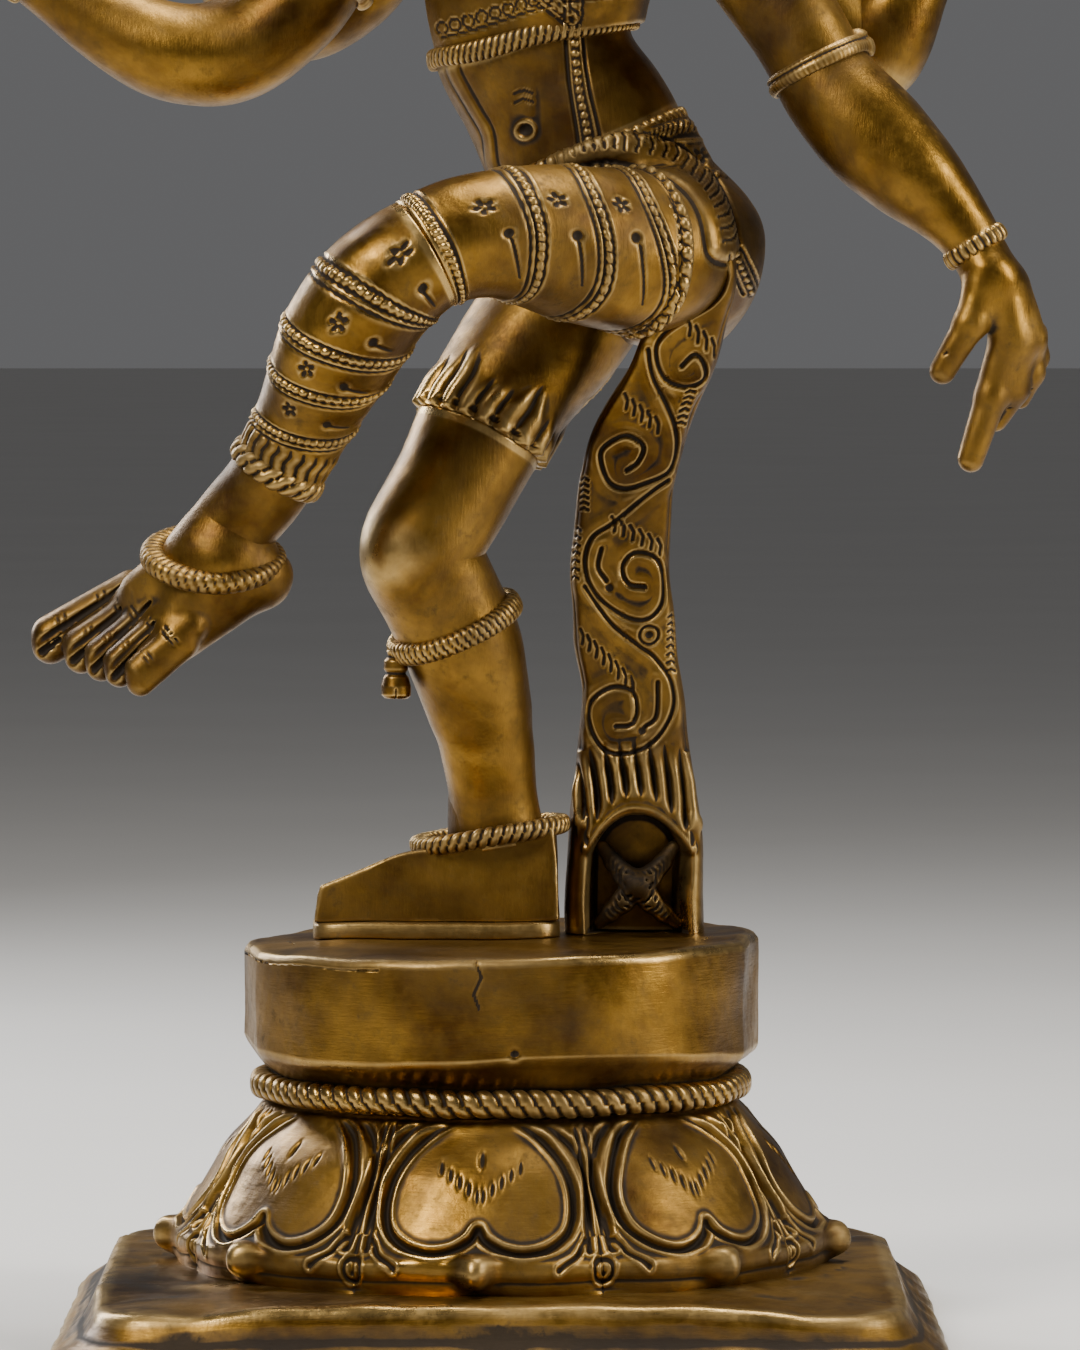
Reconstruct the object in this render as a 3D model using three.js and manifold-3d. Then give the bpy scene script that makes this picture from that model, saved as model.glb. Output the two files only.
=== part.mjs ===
// A dancing four-armed figure in cast brass on a lotus pedestal.
// Millimetres, +Z up. The origin is on the pedestal's axis, in the plane it stands on.
// The castings meet with spigots in sockets, and the ornament rings are threaded on the spigots.

import * as THREE from 'three';
import { mergeVertices } from 'three/addons/utils/BufferGeometryUtils.js';
import Module from 'manifold-3d';

const wasm = await Module();
wasm.setup();

// ---- driving dimensions ----
const fitGap = 0.3;        // clearance between castings that touch
const pegLength = 9;       // how far a spigot enters its socket
const limbSides = 10;      // sides of a limb's cross-section
const limbSteps = 5;       // sections along a limb
const rodSides = 8;        // sides of a spigot, socket or stud
const roundSides = 32;     // sides of the pedestal's turned pieces

const base = { topHalf: 149, footHalf: 165, height: 26, wall: 9, squareness: 7, sides: 36 };
const lotus = { footRadius: 121, shoulderRadius: 106, topRadius: 86, height: 61, wall: 8, lip: 12 };
const petal = { count: 8, firstAngle: -94, thickness: 7, bulge: 5, tipOut: 11, root: 2 };
const rope = { radius: 5.2, neckRadius: 84 };
const drum = { radius: 97.5, height: 49, chamfer: 8, wall: 10, roof: 12 };
const slab = { length: 93, width: 44, height: 6 };
const stud = { radius: 4, nutRadius: 8, nutHeight: 6, washerRadius: 12, washerHeight: 2 };

const foot = { length: 92, heelWidth: 25, ballWidth: 37, instep: 30, toeHeight: 12 };
const radius = {
  ankle: 17, kneeBand: 24, knee: 23.5, cuff: 26, hipRight: 29,
  hipLeft: 30.5, kneeRaised: 21, calf: 23.5, hem: 17, ankleRaised: 15,
  upperArm: 17, armlet: 17.5, elbow: 16.5, wrist: 10.5,
  neck: 18, head: 27,
};
const peg = { leg: 9, raisedLeg: 8, arm: 6, neck: 9, waist: 18, sash: 5 };
const bandWidth = { anklet: 6, kneeBand: 7, cuffRing: 7, armlet: 6, bracelet: 6, hipBelt: 8, bellyBand: 6,
    necklace: 6 };
const bandProud = 2.6;     // how far an ornament ring stands out of the limb
const headHeight = 72;
const crown = { radius: 26, height: 108 };

// ---- levels of the pedestal ----
const lotusFoot = base.height + fitGap;
const lotusTop = lotusFoot + lotus.height;
const ropeLevel = lotusTop + fitGap + rope.radius;
const neckTop = ropeLevel + rope.radius;
const drumTop = neckTop + drum.height;

const vec = (x, y, z) => new THREE.Vector3(x, y, z);
const mix = THREE.MathUtils.lerp;
const rad = THREE.MathUtils.degToRad;

// The figure turns its front to -X and -Y: its right-hand side and its front, as directions.
const figureRight = vec(-0.8, 0.6, 0);
const figureFront = vec(-0.6, -0.8, 0);

// ---- places in the figure, measured from the drum's top ----
const at = (x, y, z, nx, ny, nz) => ({ point: vec(x, y, z), normal: vec(nx, ny, nz).normalize() });
const soleLevel = slab.height + 2 * fitGap;
const heel = vec(22, 8, soleLevel);
const place = {
  ankle: at(-5, 8, 38, -0.155, 0, 0.988),
  kneeBand: at(-18, -12, 117, -0.38, -0.22, 0.9),
  cuff: at(-9, -11, 186, 0.42, 0.22, 0.88),
  hipRight: at(27, 6, 242, 0.5, 0.2, 0.84),
  hipLeft: at(53, -43, 257, -0.8, -0.6, 0),
  kneeRaised: at(-25, -92, 257, -0.85, -0.18, -0.49),
  hem: at(-82, -58, 177, -0.5, 0.2, -0.85),
  ankleRaised: at(-101, -52, 153, -0.62, 0.1, -0.78),
  waist: at(32, 0, 294, -0.37, 0, 0.93),
  ribs: at(12, 0, 336, -0.2, 0, 0.98),
  neck: at(14, 0, 430, 0, 0, 1),
  chin: at(14, 0, 446, 0, 0, 1),
};
const arms = {
  frontLeft: {
    shoulder: at(58, -33, 411, 0.6, -0.15, -0.78), armlet: at(117, -48, 325, 0.45, -0.1, -0.88),
    wrist: at(174, -65, 259, 0.53, -0.05, -0.85), reach: [30, 30],
    palm: vec(0.33, 0, -0.95), across: vec(-0.85, -0.4, -0.2), fingers: vec(-0.22, 0, -0.97),
    thumb: vec(-0.62, -0.1, -0.78),
  },
  rearLeft: {
    shoulder: at(66, 7, 408, 0.7, 0.1, -0.7), armlet: at(100, 14, 373, 0.64, 0.05, -0.77),
    wrist: at(170, 10, 385, 0.55, 0, 0.83), reach: [62, 58],
    palm: vec(0.3, 0, 0.95), across: vec(-0.8, -0.6, 0.1), fingers: vec(0.5, 0, 0.86),
    thumb: vec(-0.6, -0.4, 0.7),
  },
  frontRight: {
    shoulder: at(-31, 30, 411, -0.62, 0.1, -0.78), armlet: at(-66, 34, 364, -0.6, 0, -0.8),
    wrist: at(-178, 28, 362, -0.82, -0.05, 0.57), reach: [62, 62],
    palm: vec(-0.25, 0, 0.97), across: vec(-0.8, 0.6, 0), fingers: vec(0, 0, 1),
    thumb: vec(0.75, -0.4, 0.53),
  },
  rearRight: {
    shoulder: at(-10, 66, 408, -0.66, 0.35, -0.66), armlet: at(-45, 84, 372, -0.66, 0.2, -0.69),
    wrist: at(-124, 90, 408, -0.45, 0, 0.89), reach: [62, 62],
    palm: vec(-0.3, 0, 0.95), across: vec(-0.8, 0.6, 0), fingers: vec(-0.3, -0.3, 0.9),
    thumb: vec(0.7, -0.2, 0.68),
  },
};

// ---- solids ----
function toSolid(geometry) {
  geometry.deleteAttribute('normal');
  geometry.deleteAttribute('uv');
  const merged = mergeVertices(geometry, 1e-4);
  return new wasm.Manifold(new wasm.Mesh({
    numProp: 3,
    vertProperties: new Float32Array(merged.attributes.position.array),
    triVerts: new Uint32Array(merged.index.array),
  }));
}

function toGeometry(solid) {
  const mesh = solid.getMesh();
  const geometry = new THREE.BufferGeometry();
  geometry.setAttribute('position', new THREE.BufferAttribute(mesh.vertProperties, 3));
  geometry.setIndex(new THREE.BufferAttribute(mesh.triVerts, 1));
  geometry.computeVertexNormals();
  return geometry;
}

// Rings of equally many points, joined in order and closed with a fan at each end.
function loft(rings) {
  const sides = rings[0].length;
  const positions = rings.flat().flatMap((p) => [p.x, p.y, p.z]);
  const centre = (ring) => ring.reduce((sum, p) => sum.add(p), vec(0, 0, 0)).divideScalar(sides);
  const index = [];
  for (let k = 0; k + 1 < rings.length; k += 1) {
    for (let j = 0; j < sides; j += 1) {
      const next = (j + 1) % sides;
      const [a, b, c, d] = [k * sides + j, k * sides + next, (k + 1) * sides + next, (k + 1) * sides + j];
      index.push(a, b, c, a, c, d);
    }
  }
  const first = rings.length * sides;
  const start = centre(rings[0]);
  const end = centre(rings[rings.length - 1]);
  positions.push(start.x, start.y, start.z, end.x, end.y, end.z);
  for (let j = 0; j < sides; j += 1) {
    const next = (j + 1) % sides;
    const last = (rings.length - 1) * sides;
    index.push(first, next, j, first + 1, last + j, last + next);
  }
  const geometry = new THREE.BufferGeometry();
  geometry.setAttribute('position', new THREE.Float32BufferAttribute(positions, 3));
  geometry.setIndex(index);
  return toSolid(geometry);
}

// An oval ring of points: a lies along the reference direction, b across it.
function oval(centre, normal, reference, a, b, sides = limbSides, power = 2) {
  const u = reference.clone().addScaledVector(normal, -reference.dot(normal)).normalize();
  const w = normal.clone().cross(u);
  return Array.from({ length: sides }, (_, j) => {
    const angle = (2 * Math.PI * (j + 0.5)) / sides;
    const shape = (value) => Math.sign(value) * Math.abs(value) ** (2 / power);
    return centre.clone()
      .addScaledVector(u, a * shape(Math.cos(angle)))
      .addScaledVector(w, b * shape(Math.sin(angle)));
  });
}

function sampleSizes(sizes, t) {
  const spot = t * (sizes.length - 1);
  const low = Math.min(Math.floor(spot), sizes.length - 2);
  const pair = (size) => (Array.isArray(size) ? size : [size, size]);
  const [a0, b0] = pair(sizes[low]);
  const [a1, b1] = pair(sizes[low + 1]);
  return [mix(a0, a1, spot - low), mix(b0, b1, spot - low)];
}

// A limb from one joint plane to the next. Each end stops half its ring's width short of the plane.
function limb(from, to, sizes, options = {}) {
  const { startWidth = 0, endWidth = 0, reference = figureRight, steps = limbSteps } = options;
  const start = from.point.clone().addScaledVector(from.normal, startWidth / 2 + fitGap / 2);
  const end = to.point.clone().addScaledVector(to.normal, -endWidth / 2 - fitGap / 2);
  const span = start.distanceTo(end);
  const [startReach, endReach] = options.reach ?? [span * 0.36, span * 0.36];
  const path = new THREE.CubicBezierCurve3(
    start,
    start.clone().addScaledVector(from.normal, startReach),
    end.clone().addScaledVector(to.normal, -endReach),
    end,
  );
  const rings = Array.from({ length: steps }, (_, k) => {
    const t = k / (steps - 1);
    const [a, b] = sampleSizes(sizes, t);
    return oval(path.getPoint(t), path.getTangent(t), reference, a, b);
  });
  return loft(rings);
}

function rod(from, direction, rodRadius, length) {
  const geometry = new THREE.CylinderGeometry(rodRadius, rodRadius, length, rodSides);
  geometry.applyQuaternion(new THREE.Quaternion().setFromUnitVectors(vec(0, 1, 0), direction));
  const middle = from.clone().addScaledVector(direction, length / 2);
  return toSolid(geometry.translate(middle.x, middle.y, middle.z));
}

// The spigot stands out of the casting before the joint, through the ring, into the next casting.
function spigot(joint, spigotRadius, ringWidth = 0) {
  const back = ringWidth / 2 + pegLength;
  const start = joint.point.clone().addScaledVector(joint.normal, -back);
  return rod(start, joint.normal, spigotRadius, 2 * back);
}

function socket(joint, spigotRadius, ringWidth = 0) {
  const start = joint.point.clone().addScaledVector(joint.normal, -ringWidth / 2 - fitGap);
  return rod(start, joint.normal, spigotRadius + fitGap, ringWidth + pegLength + 2 * fitGap);
}

// An ornament ring with a rounded outside, bored to pass the spigot.
function band(joint, a, b, width, boreRadius, reference = figureRight) {
  const half = width / 2 - fitGap / 2;
  const outline = [[-half, bandProud * 0.4], [-half * 0.5, bandProud], [half * 0.5, bandProud], [half,
      bandProud * 0.4]];
  const rings = outline.map(([along, proud]) => oval(
    joint.point.clone().addScaledVector(joint.normal, along), joint.normal, reference, a + proud, b + proud));
  return loft(rings).subtract(socket(joint, boreRadius, width));
}

// The same joint plane further along, so that a limb runs past it and is then cut flat.
const beyond = (joint, distance) => ({
  point: joint.point.clone().addScaledVector(joint.normal, distance),
  normal: joint.normal,
});

// What lies past a joint plane is cut away, as far as the cutter reaches.
function trimBeyond(solid, joint, ringWidth = 0, reach = 42, length = 60) {
  const start = joint.point.clone().addScaledVector(joint.normal, -ringWidth / 2 - fitGap / 2);
  return solid.subtract(rod(start, joint.normal, reach, length));
}

function turned(profile, sides = roundSides) {
  const geometry = new THREE.LatheGeometry(profile.map(([r, z]) => new THREE.Vector2(r, z)), sides);
  return toSolid(geometry.rotateX(Math.PI / 2));
}

// ---- nodes ----
const model = new THREE.Group();
const pedestal = new THREE.Group();
const figure = new THREE.Group();
figure.position.z = drumTop + fitGap;
model.add(pedestal, figure);

const brass = () => new THREE.MeshStandardMaterial({ color: 0x8a6424, roughness: 0.34, metalness: 1 });
const darkBrass = () => new THREE.MeshStandardMaterial({ color: 0x5e3f12, roughness: 0.45, metalness: 1 });
const steel = () => new THREE.MeshStandardMaterial({ color: 0x6d6a64, roughness: 0.5, metalness: 1 });

function node(name, solid, parent = figure, material = brass()) {
  const mesh = new THREE.Mesh(toGeometry(solid), material);
  mesh.name = name;
  parent.add(mesh);
  return mesh;
}

// ---- pedestal ----
function squareRing(level, half) {
  return oval(vec(0, 0, level), vec(0, 0, 1), vec(1, 0, 0), half, half, base.sides, base.squareness);
}

function basePlate() {
  const rise = base.height;
  const flare = base.footHalf - base.topHalf;
  const outside = [[0, base.footHalf], [rise * 0.25, base.footHalf - flare * 0.3],
    [rise * 0.5, base.topHalf + flare * 0.2], [rise * 0.9, base.topHalf], [rise, base.topHalf - 2]];
  const shell = loft(outside.map(([level, half]) => squareRing(level, half)));
  const hollowTop = rise - base.wall;
  const hollow = loft([squareRing(-1, base.topHalf - base.wall), squareRing(hollowTop,
      base.topHalf - base.wall)]);
  const eye = rod(vec(0, 0, hollowTop - 1), vec(0, 0, 1), lotus.topRadius - lotus.lip, base.wall + 2);
  return shell.subtract(hollow).subtract(eye);
}

// The lotus bell's outer radius, from its foot at 0 to its top at 1.
function bellRadius(rise) {
  const curve = new THREE.QuadraticBezierCurve(
    new THREE.Vector2(lotus.footRadius, 0),
    new THREE.Vector2(lotus.shoulderRadius + 9, 0.62),
    new THREE.Vector2(lotus.topRadius, 1),
  );
  return curve.getPoint(rise);
}

function lotusBell() {
  const outer = [0, 0.25, 0.5, 0.75, 1].map((t) => bellRadius(t))
    .map((p) => [p.x, lotusFoot + p.y * lotus.height]);
  const inner = [1, 0.5, 0].map((t) => bellRadius(t))
    .map((p) => [p.x - lotus.wall, lotusFoot + p.y * (lotus.height - lotus.wall)]);
  const eye = lotus.topRadius - lotus.lip;
  const profile = [...outer, [eye, lotusTop], [eye, lotusTop - lotus.wall],
    [inner[0][0] - 1, lotusTop - lotus.wall], ...inner.slice(1)];
  profile.push(profile[0]);
  return turned(profile);
}

// A petal lies on the bell over its share of the circle, swells in the middle and ends in a turned-up tip.
function lotusPetal(angle) {
  const share = Math.PI / petal.count - petal.root / lotus.topRadius;
  const columns = 5;
  const rows = [0.04, 0.14, 0.28, 0.6, 0.94];
  const rings = rows.map((t) => {
    const bell = bellRadius(t);
    const level = lotusFoot + bell.y * lotus.height;
    const swell = Math.sin(Math.PI * Math.min(1, t * 1.1)) ** 0.7;
    const tip = t < 0.25 ? petal.tipOut * Math.sin((Math.PI * t) / 0.25) : 0;
    const spread = (step) => (step / (columns - 1)) * 2 - 1;
    const arc = (radiusAt) => Array.from({ length: columns }, (_, step) => {
      const side = spread(step);
      const turn = rad(angle) + side * share;
      return vec(Math.cos(turn) * radiusAt(side), Math.sin(turn) * radiusAt(side), level);
    });
    const outer = arc((side) => bell.x + petal.thickness * (0.45 + 0.55 * (1 - side ** 4))
      + petal.bulge * swell * (1 - side ** 2) + tip * Math.max(0, 1 - (3 * side) ** 2));
    const inner = arc(() => bell.x - petal.root).reverse();
    return [...outer, ...inner];
  });
  return loft(rings);
}

function drumBlock() {
  const r = drum.radius;
  const profile = [
    [rope.neckRadius - drum.wall, lotusTop + fitGap], [rope.neckRadius, lotusTop + fitGap],
        [rope.neckRadius, neckTop],
    [r - drum.chamfer, neckTop], [r, neckTop + drum.chamfer], [r, drumTop - 2.5], [r - 2.5, drumTop],
    [0, drumTop], [0, drumTop - drum.roof], [r - drum.wall, drumTop - drum.roof],
    [r - drum.wall, neckTop + drum.chamfer + 2], [rope.neckRadius - drum.wall, neckTop],
    [rope.neckRadius - drum.wall, lotusTop + fitGap],
  ];
  return turned(profile);
}

function ropeRing() {
  const profile = Array.from({ length: 9 }, (_, k) => {
    const angle = (2 * Math.PI * (k % 8)) / 8 + Math.PI / 8;
    return [rope.neckRadius + fitGap + rope.radius + rope.radius * Math.cos(angle),
        ropeLevel + rope.radius * Math.sin(angle)];
  });
  return turned(profile);
}

const footStud = vec(-3, 8, 0);
const sashStud = vec(50, 24, 0);
const studLength = drum.roof + stud.washerHeight + stud.nutHeight + 4;
const studHole = (spot) => rod(spot.clone().setZ(drumTop - drum.roof - 1), vec(0, 0, 1),
    stud.radius + fitGap, drum.roof + 2);
const studBelow = (spot) => rod(spot.clone().setZ(-studLength), vec(0, 0, 1), stud.radius,
    studLength + pegLength);

function fixing(spot, sides, outer, level, height) {
  const blank = new THREE.CylinderGeometry(outer, outer, height, sides).rotateX(Math.PI / 2);
  const body = toSolid(blank.translate(spot.x, spot.y, level - height / 2));
  return body.subtract(rod(spot.clone().setZ(level - height - 1), vec(0, 0, 1), stud.radius + fitGap,
      height + 2));
}

node('base_plate', basePlate(), pedestal);
const petalAngles = Array.from({ length: petal.count }, (_, k) => petal.firstAngle + (k * 360) / petal.count);
node('lotus_bell', petalAngles.reduce((solid, angle) => solid.add(lotusPetal(angle)), lotusBell()), pedestal);
node('rope_ring', ropeRing(), pedestal);
node('drum', drumBlock().subtract(studHole(footStud)).subtract(studHole(sashStud)), pedestal);
const washerTop = drumTop - drum.roof - fitGap;
const nutTop = washerTop - stud.washerHeight - fitGap;
[['foot', footStud], ['sash', sashStud]].forEach(([name, spot]) => {
  node(`${name}_washer`, fixing(spot, 16, stud.washerRadius, washerTop, stud.washerHeight), pedestal,
      steel());
  node(`${name}_nut`, fixing(spot, 6, stud.nutRadius, nutTop, stud.nutHeight), pedestal, steel());
});

// ---- standing leg ----
function footSlab() {
  const outline = (level) => oval(vec(heel.x - slab.length / 2, heel.y, level), vec(0, 0, 1), vec(1, 0, 0),
    slab.length / 2, slab.width / 2, limbSides * 2, 5);
  const hole = rod(footStud.clone().setZ(-1), vec(0, 0, 1), stud.radius + fitGap, slab.height + 2);
  return loft([outline(0), outline(slab.height)]).subtract(hole);
}

function soleShape(share, width, height, level) {
  const centre = vec(heel.x - share * foot.length, heel.y, level + height / 2);
  return oval(centre, vec(-1, 0, 0), vec(0, 1, 0), width / 2, height / 2, limbSides, 3.4);
}

function standingFoot() {
  const stations = [[0, foot.heelWidth - 5, 24], [0.08, foot.heelWidth, 29], [0.35, foot.heelWidth + 3,
      foot.instep],
    [0.6, foot.ballWidth - 3, foot.instep * 0.75], [0.82, foot.ballWidth, foot.toeHeight + 3],
    [0.96, foot.ballWidth - 4, foot.toeHeight], [1, foot.ballWidth - 9, foot.toeHeight - 4]];
  const sole = loft(stations.map(([share, width, height]) => soleShape(share, width, height, soleLevel)));
  const root = { point: vec(place.ankle.point.x - 4, heel.y, soleLevel + 5), normal: vec(-0.1, 0,
      1).normalize() };
  const column = limb(root, beyond(place.ankle, 3), [[17, 13], [22, 14], radius.ankle],
      { reference: vec(1, 0, 0), steps: 4 });
  return trimBeyond(sole.add(column), place.ankle, bandWidth.anklet)
    .add(spigot(place.ankle, peg.leg, bandWidth.anklet)).add(studBelow(footStud));
}

node('foot_slab', footSlab());
node('standing_foot', standingFoot());
node('standing_anklet', band(place.ankle, 25.5, 20, bandWidth.anklet, peg.leg, vec(1, 0, 0)));
node('standing_shin', limb(place.ankle, place.kneeBand,
  [radius.ankle, radius.ankle - 0.5, radius.ankle + 2, radius.kneeBand], { startWidth: bandWidth.anklet,
      endWidth: bandWidth.kneeBand })
  .subtract(socket(place.ankle, peg.leg, bandWidth.anklet))
  .add(spigot(place.kneeBand, peg.leg, bandWidth.kneeBand)));
node('knee_band', band(place.kneeBand, radius.kneeBand, radius.kneeBand, bandWidth.kneeBand, peg.leg));

function kneePendant() {
  const top = place.kneeBand.point.clone().add(vec(-radius.kneeBand - 3, -3, -8));
  const sizes = [[2, 2], [3.4, 3.4], [4.6, 4.6], [4.6, 4.6], [3, 3]];
  const shape = (z) => ({ point: top.clone().setZ(top.z + z), normal: vec(0, 0, 1) });
  return limb(shape(-15), shape(0), sizes.reverse(), { steps: 5 });
}

const standingShin = figure.children.find((mesh) => mesh.name === 'standing_shin');
node('knee_pendant', kneePendant().subtract(toSolid(standingShin.geometry.clone()))
  .subtract(band(place.kneeBand, radius.kneeBand + fitGap, radius.kneeBand + fitGap,
      bandWidth.kneeBand + 1, peg.leg)));

node('standing_knee', limb(place.kneeBand, place.cuff, [radius.kneeBand - 1.5, radius.knee, radius.knee,
    radius.cuff - 2],
  { startWidth: bandWidth.kneeBand, reach: [48, 48] })
  .subtract(socket(place.kneeBand, peg.leg, bandWidth.kneeBand))
  .add(spigot(place.cuff, peg.leg)));

// room kept free around the raised thigh, so a thicker one still clears its neighbours
const thighClearance = limb(place.hipLeft, place.kneeRaised,
  [radius.hipLeft + 1, radius.hipLeft + 1, radius.hipLeft - 2, radius.kneeRaised + 3,
      radius.kneeRaised + 1], { reach: [40, 26] });

node('standing_thigh', limb(place.cuff, place.hipRight, [radius.cuff, radius.cuff + 1, radius.hipRight,
    radius.hipRight])
  .subtract(thighClearance)
  .subtract(socket(place.cuff, peg.leg))
  .add(spigot(place.hipRight, peg.leg)));

// ---- hips and raised leg ----
function pelvisBlock() {
  const sections = [[62, 4, 232, 24, 18], [57, 0, 246, 42, 31], [56, 0, 262, 46, 35], [48, 0, 277, 45, 34]];
  const rings = sections.map(([x, y, z, a, b]) => oval(vec(x, y, z), vec(-0.15, 0, 0.99), figureRight, a, b));
  const top = place.waist.point.clone().addScaledVector(place.waist.normal,
      -bandWidth.hipBelt / 2 - fitGap / 2);
  rings.push(oval(top, place.waist.normal, figureRight, 42, 32));
  const rightRoot = limb(beyond(place.hipRight, -5), at(46, 8, 262, 0.5, 0.1, 0.86), [radius.hipRight,
      24], { steps: 3 });
  const leftRoot = limb(at(68, -22, 260, -0.7, -0.7, 0), beyond(place.hipLeft, 5), [26, radius.hipLeft],
      { steps: 3 });
  const backwards = { point: place.hipRight.point, normal: place.hipRight.normal.clone().negate() };
  return trimBeyond(trimBeyond(loft(rings).add(rightRoot).add(leftRoot), backwards), place.hipLeft)
    .subtract(socket(place.hipRight, peg.leg))
    .add(spigot(place.hipLeft, peg.raisedLeg))
    .add(spigot(place.waist, peg.waist, bandWidth.hipBelt));
}

const raisedThigh = limb(place.hipLeft, place.kneeRaised,
  [radius.hipLeft, radius.hipLeft, radius.hipLeft - 3, radius.kneeRaised + 2, radius.kneeRaised],
      { reach: [40, 26] });
const raisedShin = limb(place.kneeRaised, place.hem,
  [radius.kneeRaised, radius.kneeRaised + 1, radius.calf, radius.calf - 2, radius.hem],
      { endWidth: bandWidth.cuffRing, reach: [30, 40] });

node('raised_thigh', raisedThigh.subtract(socket(place.hipLeft,
    peg.raisedLeg)).add(spigot(place.kneeRaised, peg.raisedLeg)));
node('raised_shin', raisedShin.subtract(socket(place.kneeRaised, peg.raisedLeg))
  .add(spigot(place.hem, peg.raisedLeg, bandWidth.cuffRing)));
node('cuff_ring', band(place.hem, radius.hem, radius.hem, bandWidth.cuffRing, peg.raisedLeg));
node('raised_ankle', limb(place.hem, place.ankleRaised, [radius.ankleRaised, radius.ankleRaised, [18, 15]],
  { startWidth: bandWidth.cuffRing, endWidth: bandWidth.anklet, steps: 4 })
  .subtract(socket(place.hem, peg.raisedLeg, bandWidth.cuffRing))
  .add(spigot(place.ankleRaised, peg.raisedLeg, bandWidth.anklet)));
node('raised_anklet', band(place.ankleRaised, 20, 17, bandWidth.anklet, peg.raisedLeg));

function raisedFoot() {
  const across = vec(0.55, -0.45, 0.55).normalize();
  const along = vec(-0.72, 0.14, -0.6).normalize();
  const root = place.ankleRaised.point.clone().addScaledVector(place.ankleRaised.normal,
      bandWidth.anklet / 2 + fitGap / 2);
  const rings = [oval(root, place.ankleRaised.normal, across, 18, 16)];
  [[16, 17, 15], [34, 18, 12], [52, 20, 9], [66, 21, 7], [74, 19, 4.5]].forEach(([distance, a, b]) => {
    rings.push(oval(root.clone().addScaledVector(along, distance), along, across, a, b));
  });
  const heelBlock = limb({ point: root.clone().addScaledVector(along, 4), normal: vec(0.5, 0.35, -0.79) },
    { point: root.clone().add(vec(11, 9, -17)), normal: vec(0.5, 0.35, -0.79) }, [13, 13, 9], { steps: 4 });
  return loft(rings).add(heelBlock.subtract(rod(place.ankleRaised.point.clone()
    .addScaledVector(place.ankleRaised.normal, -30), place.ankleRaised.normal, 40,
        30 + bandWidth.anklet / 2 + fitGap / 2)))
    .subtract(socket(place.ankleRaised, peg.raisedLeg, bandWidth.anklet));
}
node('raised_foot', raisedFoot());

// ---- hanging sash: a broad curved strip from the left hip to the drum ----
const sashSections = [
  // centre x, centre y, level, half width, half depth
  [50.5, 24, 0, 26, 17], [50.5, 22, 40, 25.5, 16], [50, 18, 60, 22.5, 12], [50, 14, 78, 20.5, 9],
  [47, 8, 111, 19.5, 8], [44.5, 0, 145, 18, 7.5], [46.5, -6, 170, 17.8, 7.5], [52, -14, 190, 18.2, 7.5],
  [60, -22, 208, 17, 7.5], [68, -30, 224, 16, 7.5], [77, -36, 244, 14, 6.5], [84, -37, 262, 11, 6],
];

function sashStrip() {
  const strip = loft(sashSections.map(([x, y, z, a, b]) => oval(vec(x, y, z), vec(0, 0, 1), vec(1, 0, 0),
      a, b, limbSides * 2, 4)));
  const [x, y, , halfWidth, halfDepth] = sashSections[0];
  const arch = (depth) => oval(vec(x + 1, y - halfDepth - 2 + depth, 26), vec(0, 1, 0), vec(1, 0, 0),
      halfWidth - 9, 17);
  return strip.subtract(loft([arch(0), arch(halfDepth * 1.2)])).add(studBelow(sashStud));
}

const pelvis = pelvisBlock();
const sashPin = { from: vec(80, -34, 254), along: vec(-0.3, 0.95, 0).normalize(), length: 16 };
const sashHook = rod(sashPin.from, sashPin.along, peg.sash, sashPin.length);
const sashSocket = rod(sashPin.from, sashPin.along, peg.sash + fitGap, sashPin.length + fitGap);
const pelvisSkin = limb(at(62, 4, 226, -0.15, 0, 0.99), at(47, 0, 290, -0.2, 0, 0.98),
  [[26, 20], [44, 33], [47.5, 36.5], [47, 36], [46, 35]], { steps: 6 });
node('pelvis', pelvis.subtract(sashSocket));
const sashBody = sashStrip().subtract(thighClearance).subtract(pelvisSkin).subtract(pelvis);
const sashPieces = sashBody.decompose().sort((one, two) => two.volume() - one.volume());
node('sash', sashPieces[0].add(sashHook));

function tassels() {
  const [x, y, , , halfDepth] = sashSections[0];
  const back = y - halfDepth * 0.55;
  const strand = (side) => limb(at(x + 1 - side * 8, back, 12, side * 0.6, 0, 0.8), at(x + 1 + side * 8,
      back, 36, side * 0.4, 0, 0.9),
    [[3, 2.4], [2.4, 2], [2, 2]], { steps: 4, reference: vec(1, 0, 0) });
  return strand(1).add(strand(-1));
}
node('sash_tassels', tassels().subtract(sashPieces[0]), figure, darkBrass());

// ---- trunk ----
node('hip_belt', band(place.waist, 42, 32, bandWidth.hipBelt, peg.waist));
node('abdomen', limb(place.waist, place.ribs, [[42, 32], [40, 29.5], [39, 28], [41, 29.5]],
  { startWidth: bandWidth.hipBelt, endWidth: bandWidth.bellyBand, steps: 5 })
  .subtract(socket(place.waist, peg.waist, bandWidth.hipBelt))
  .add(spigot(place.ribs, peg.waist, bandWidth.bellyBand)));
node('belly_band', band(place.ribs, 43, 31, bandWidth.bellyBand, peg.waist));

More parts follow.
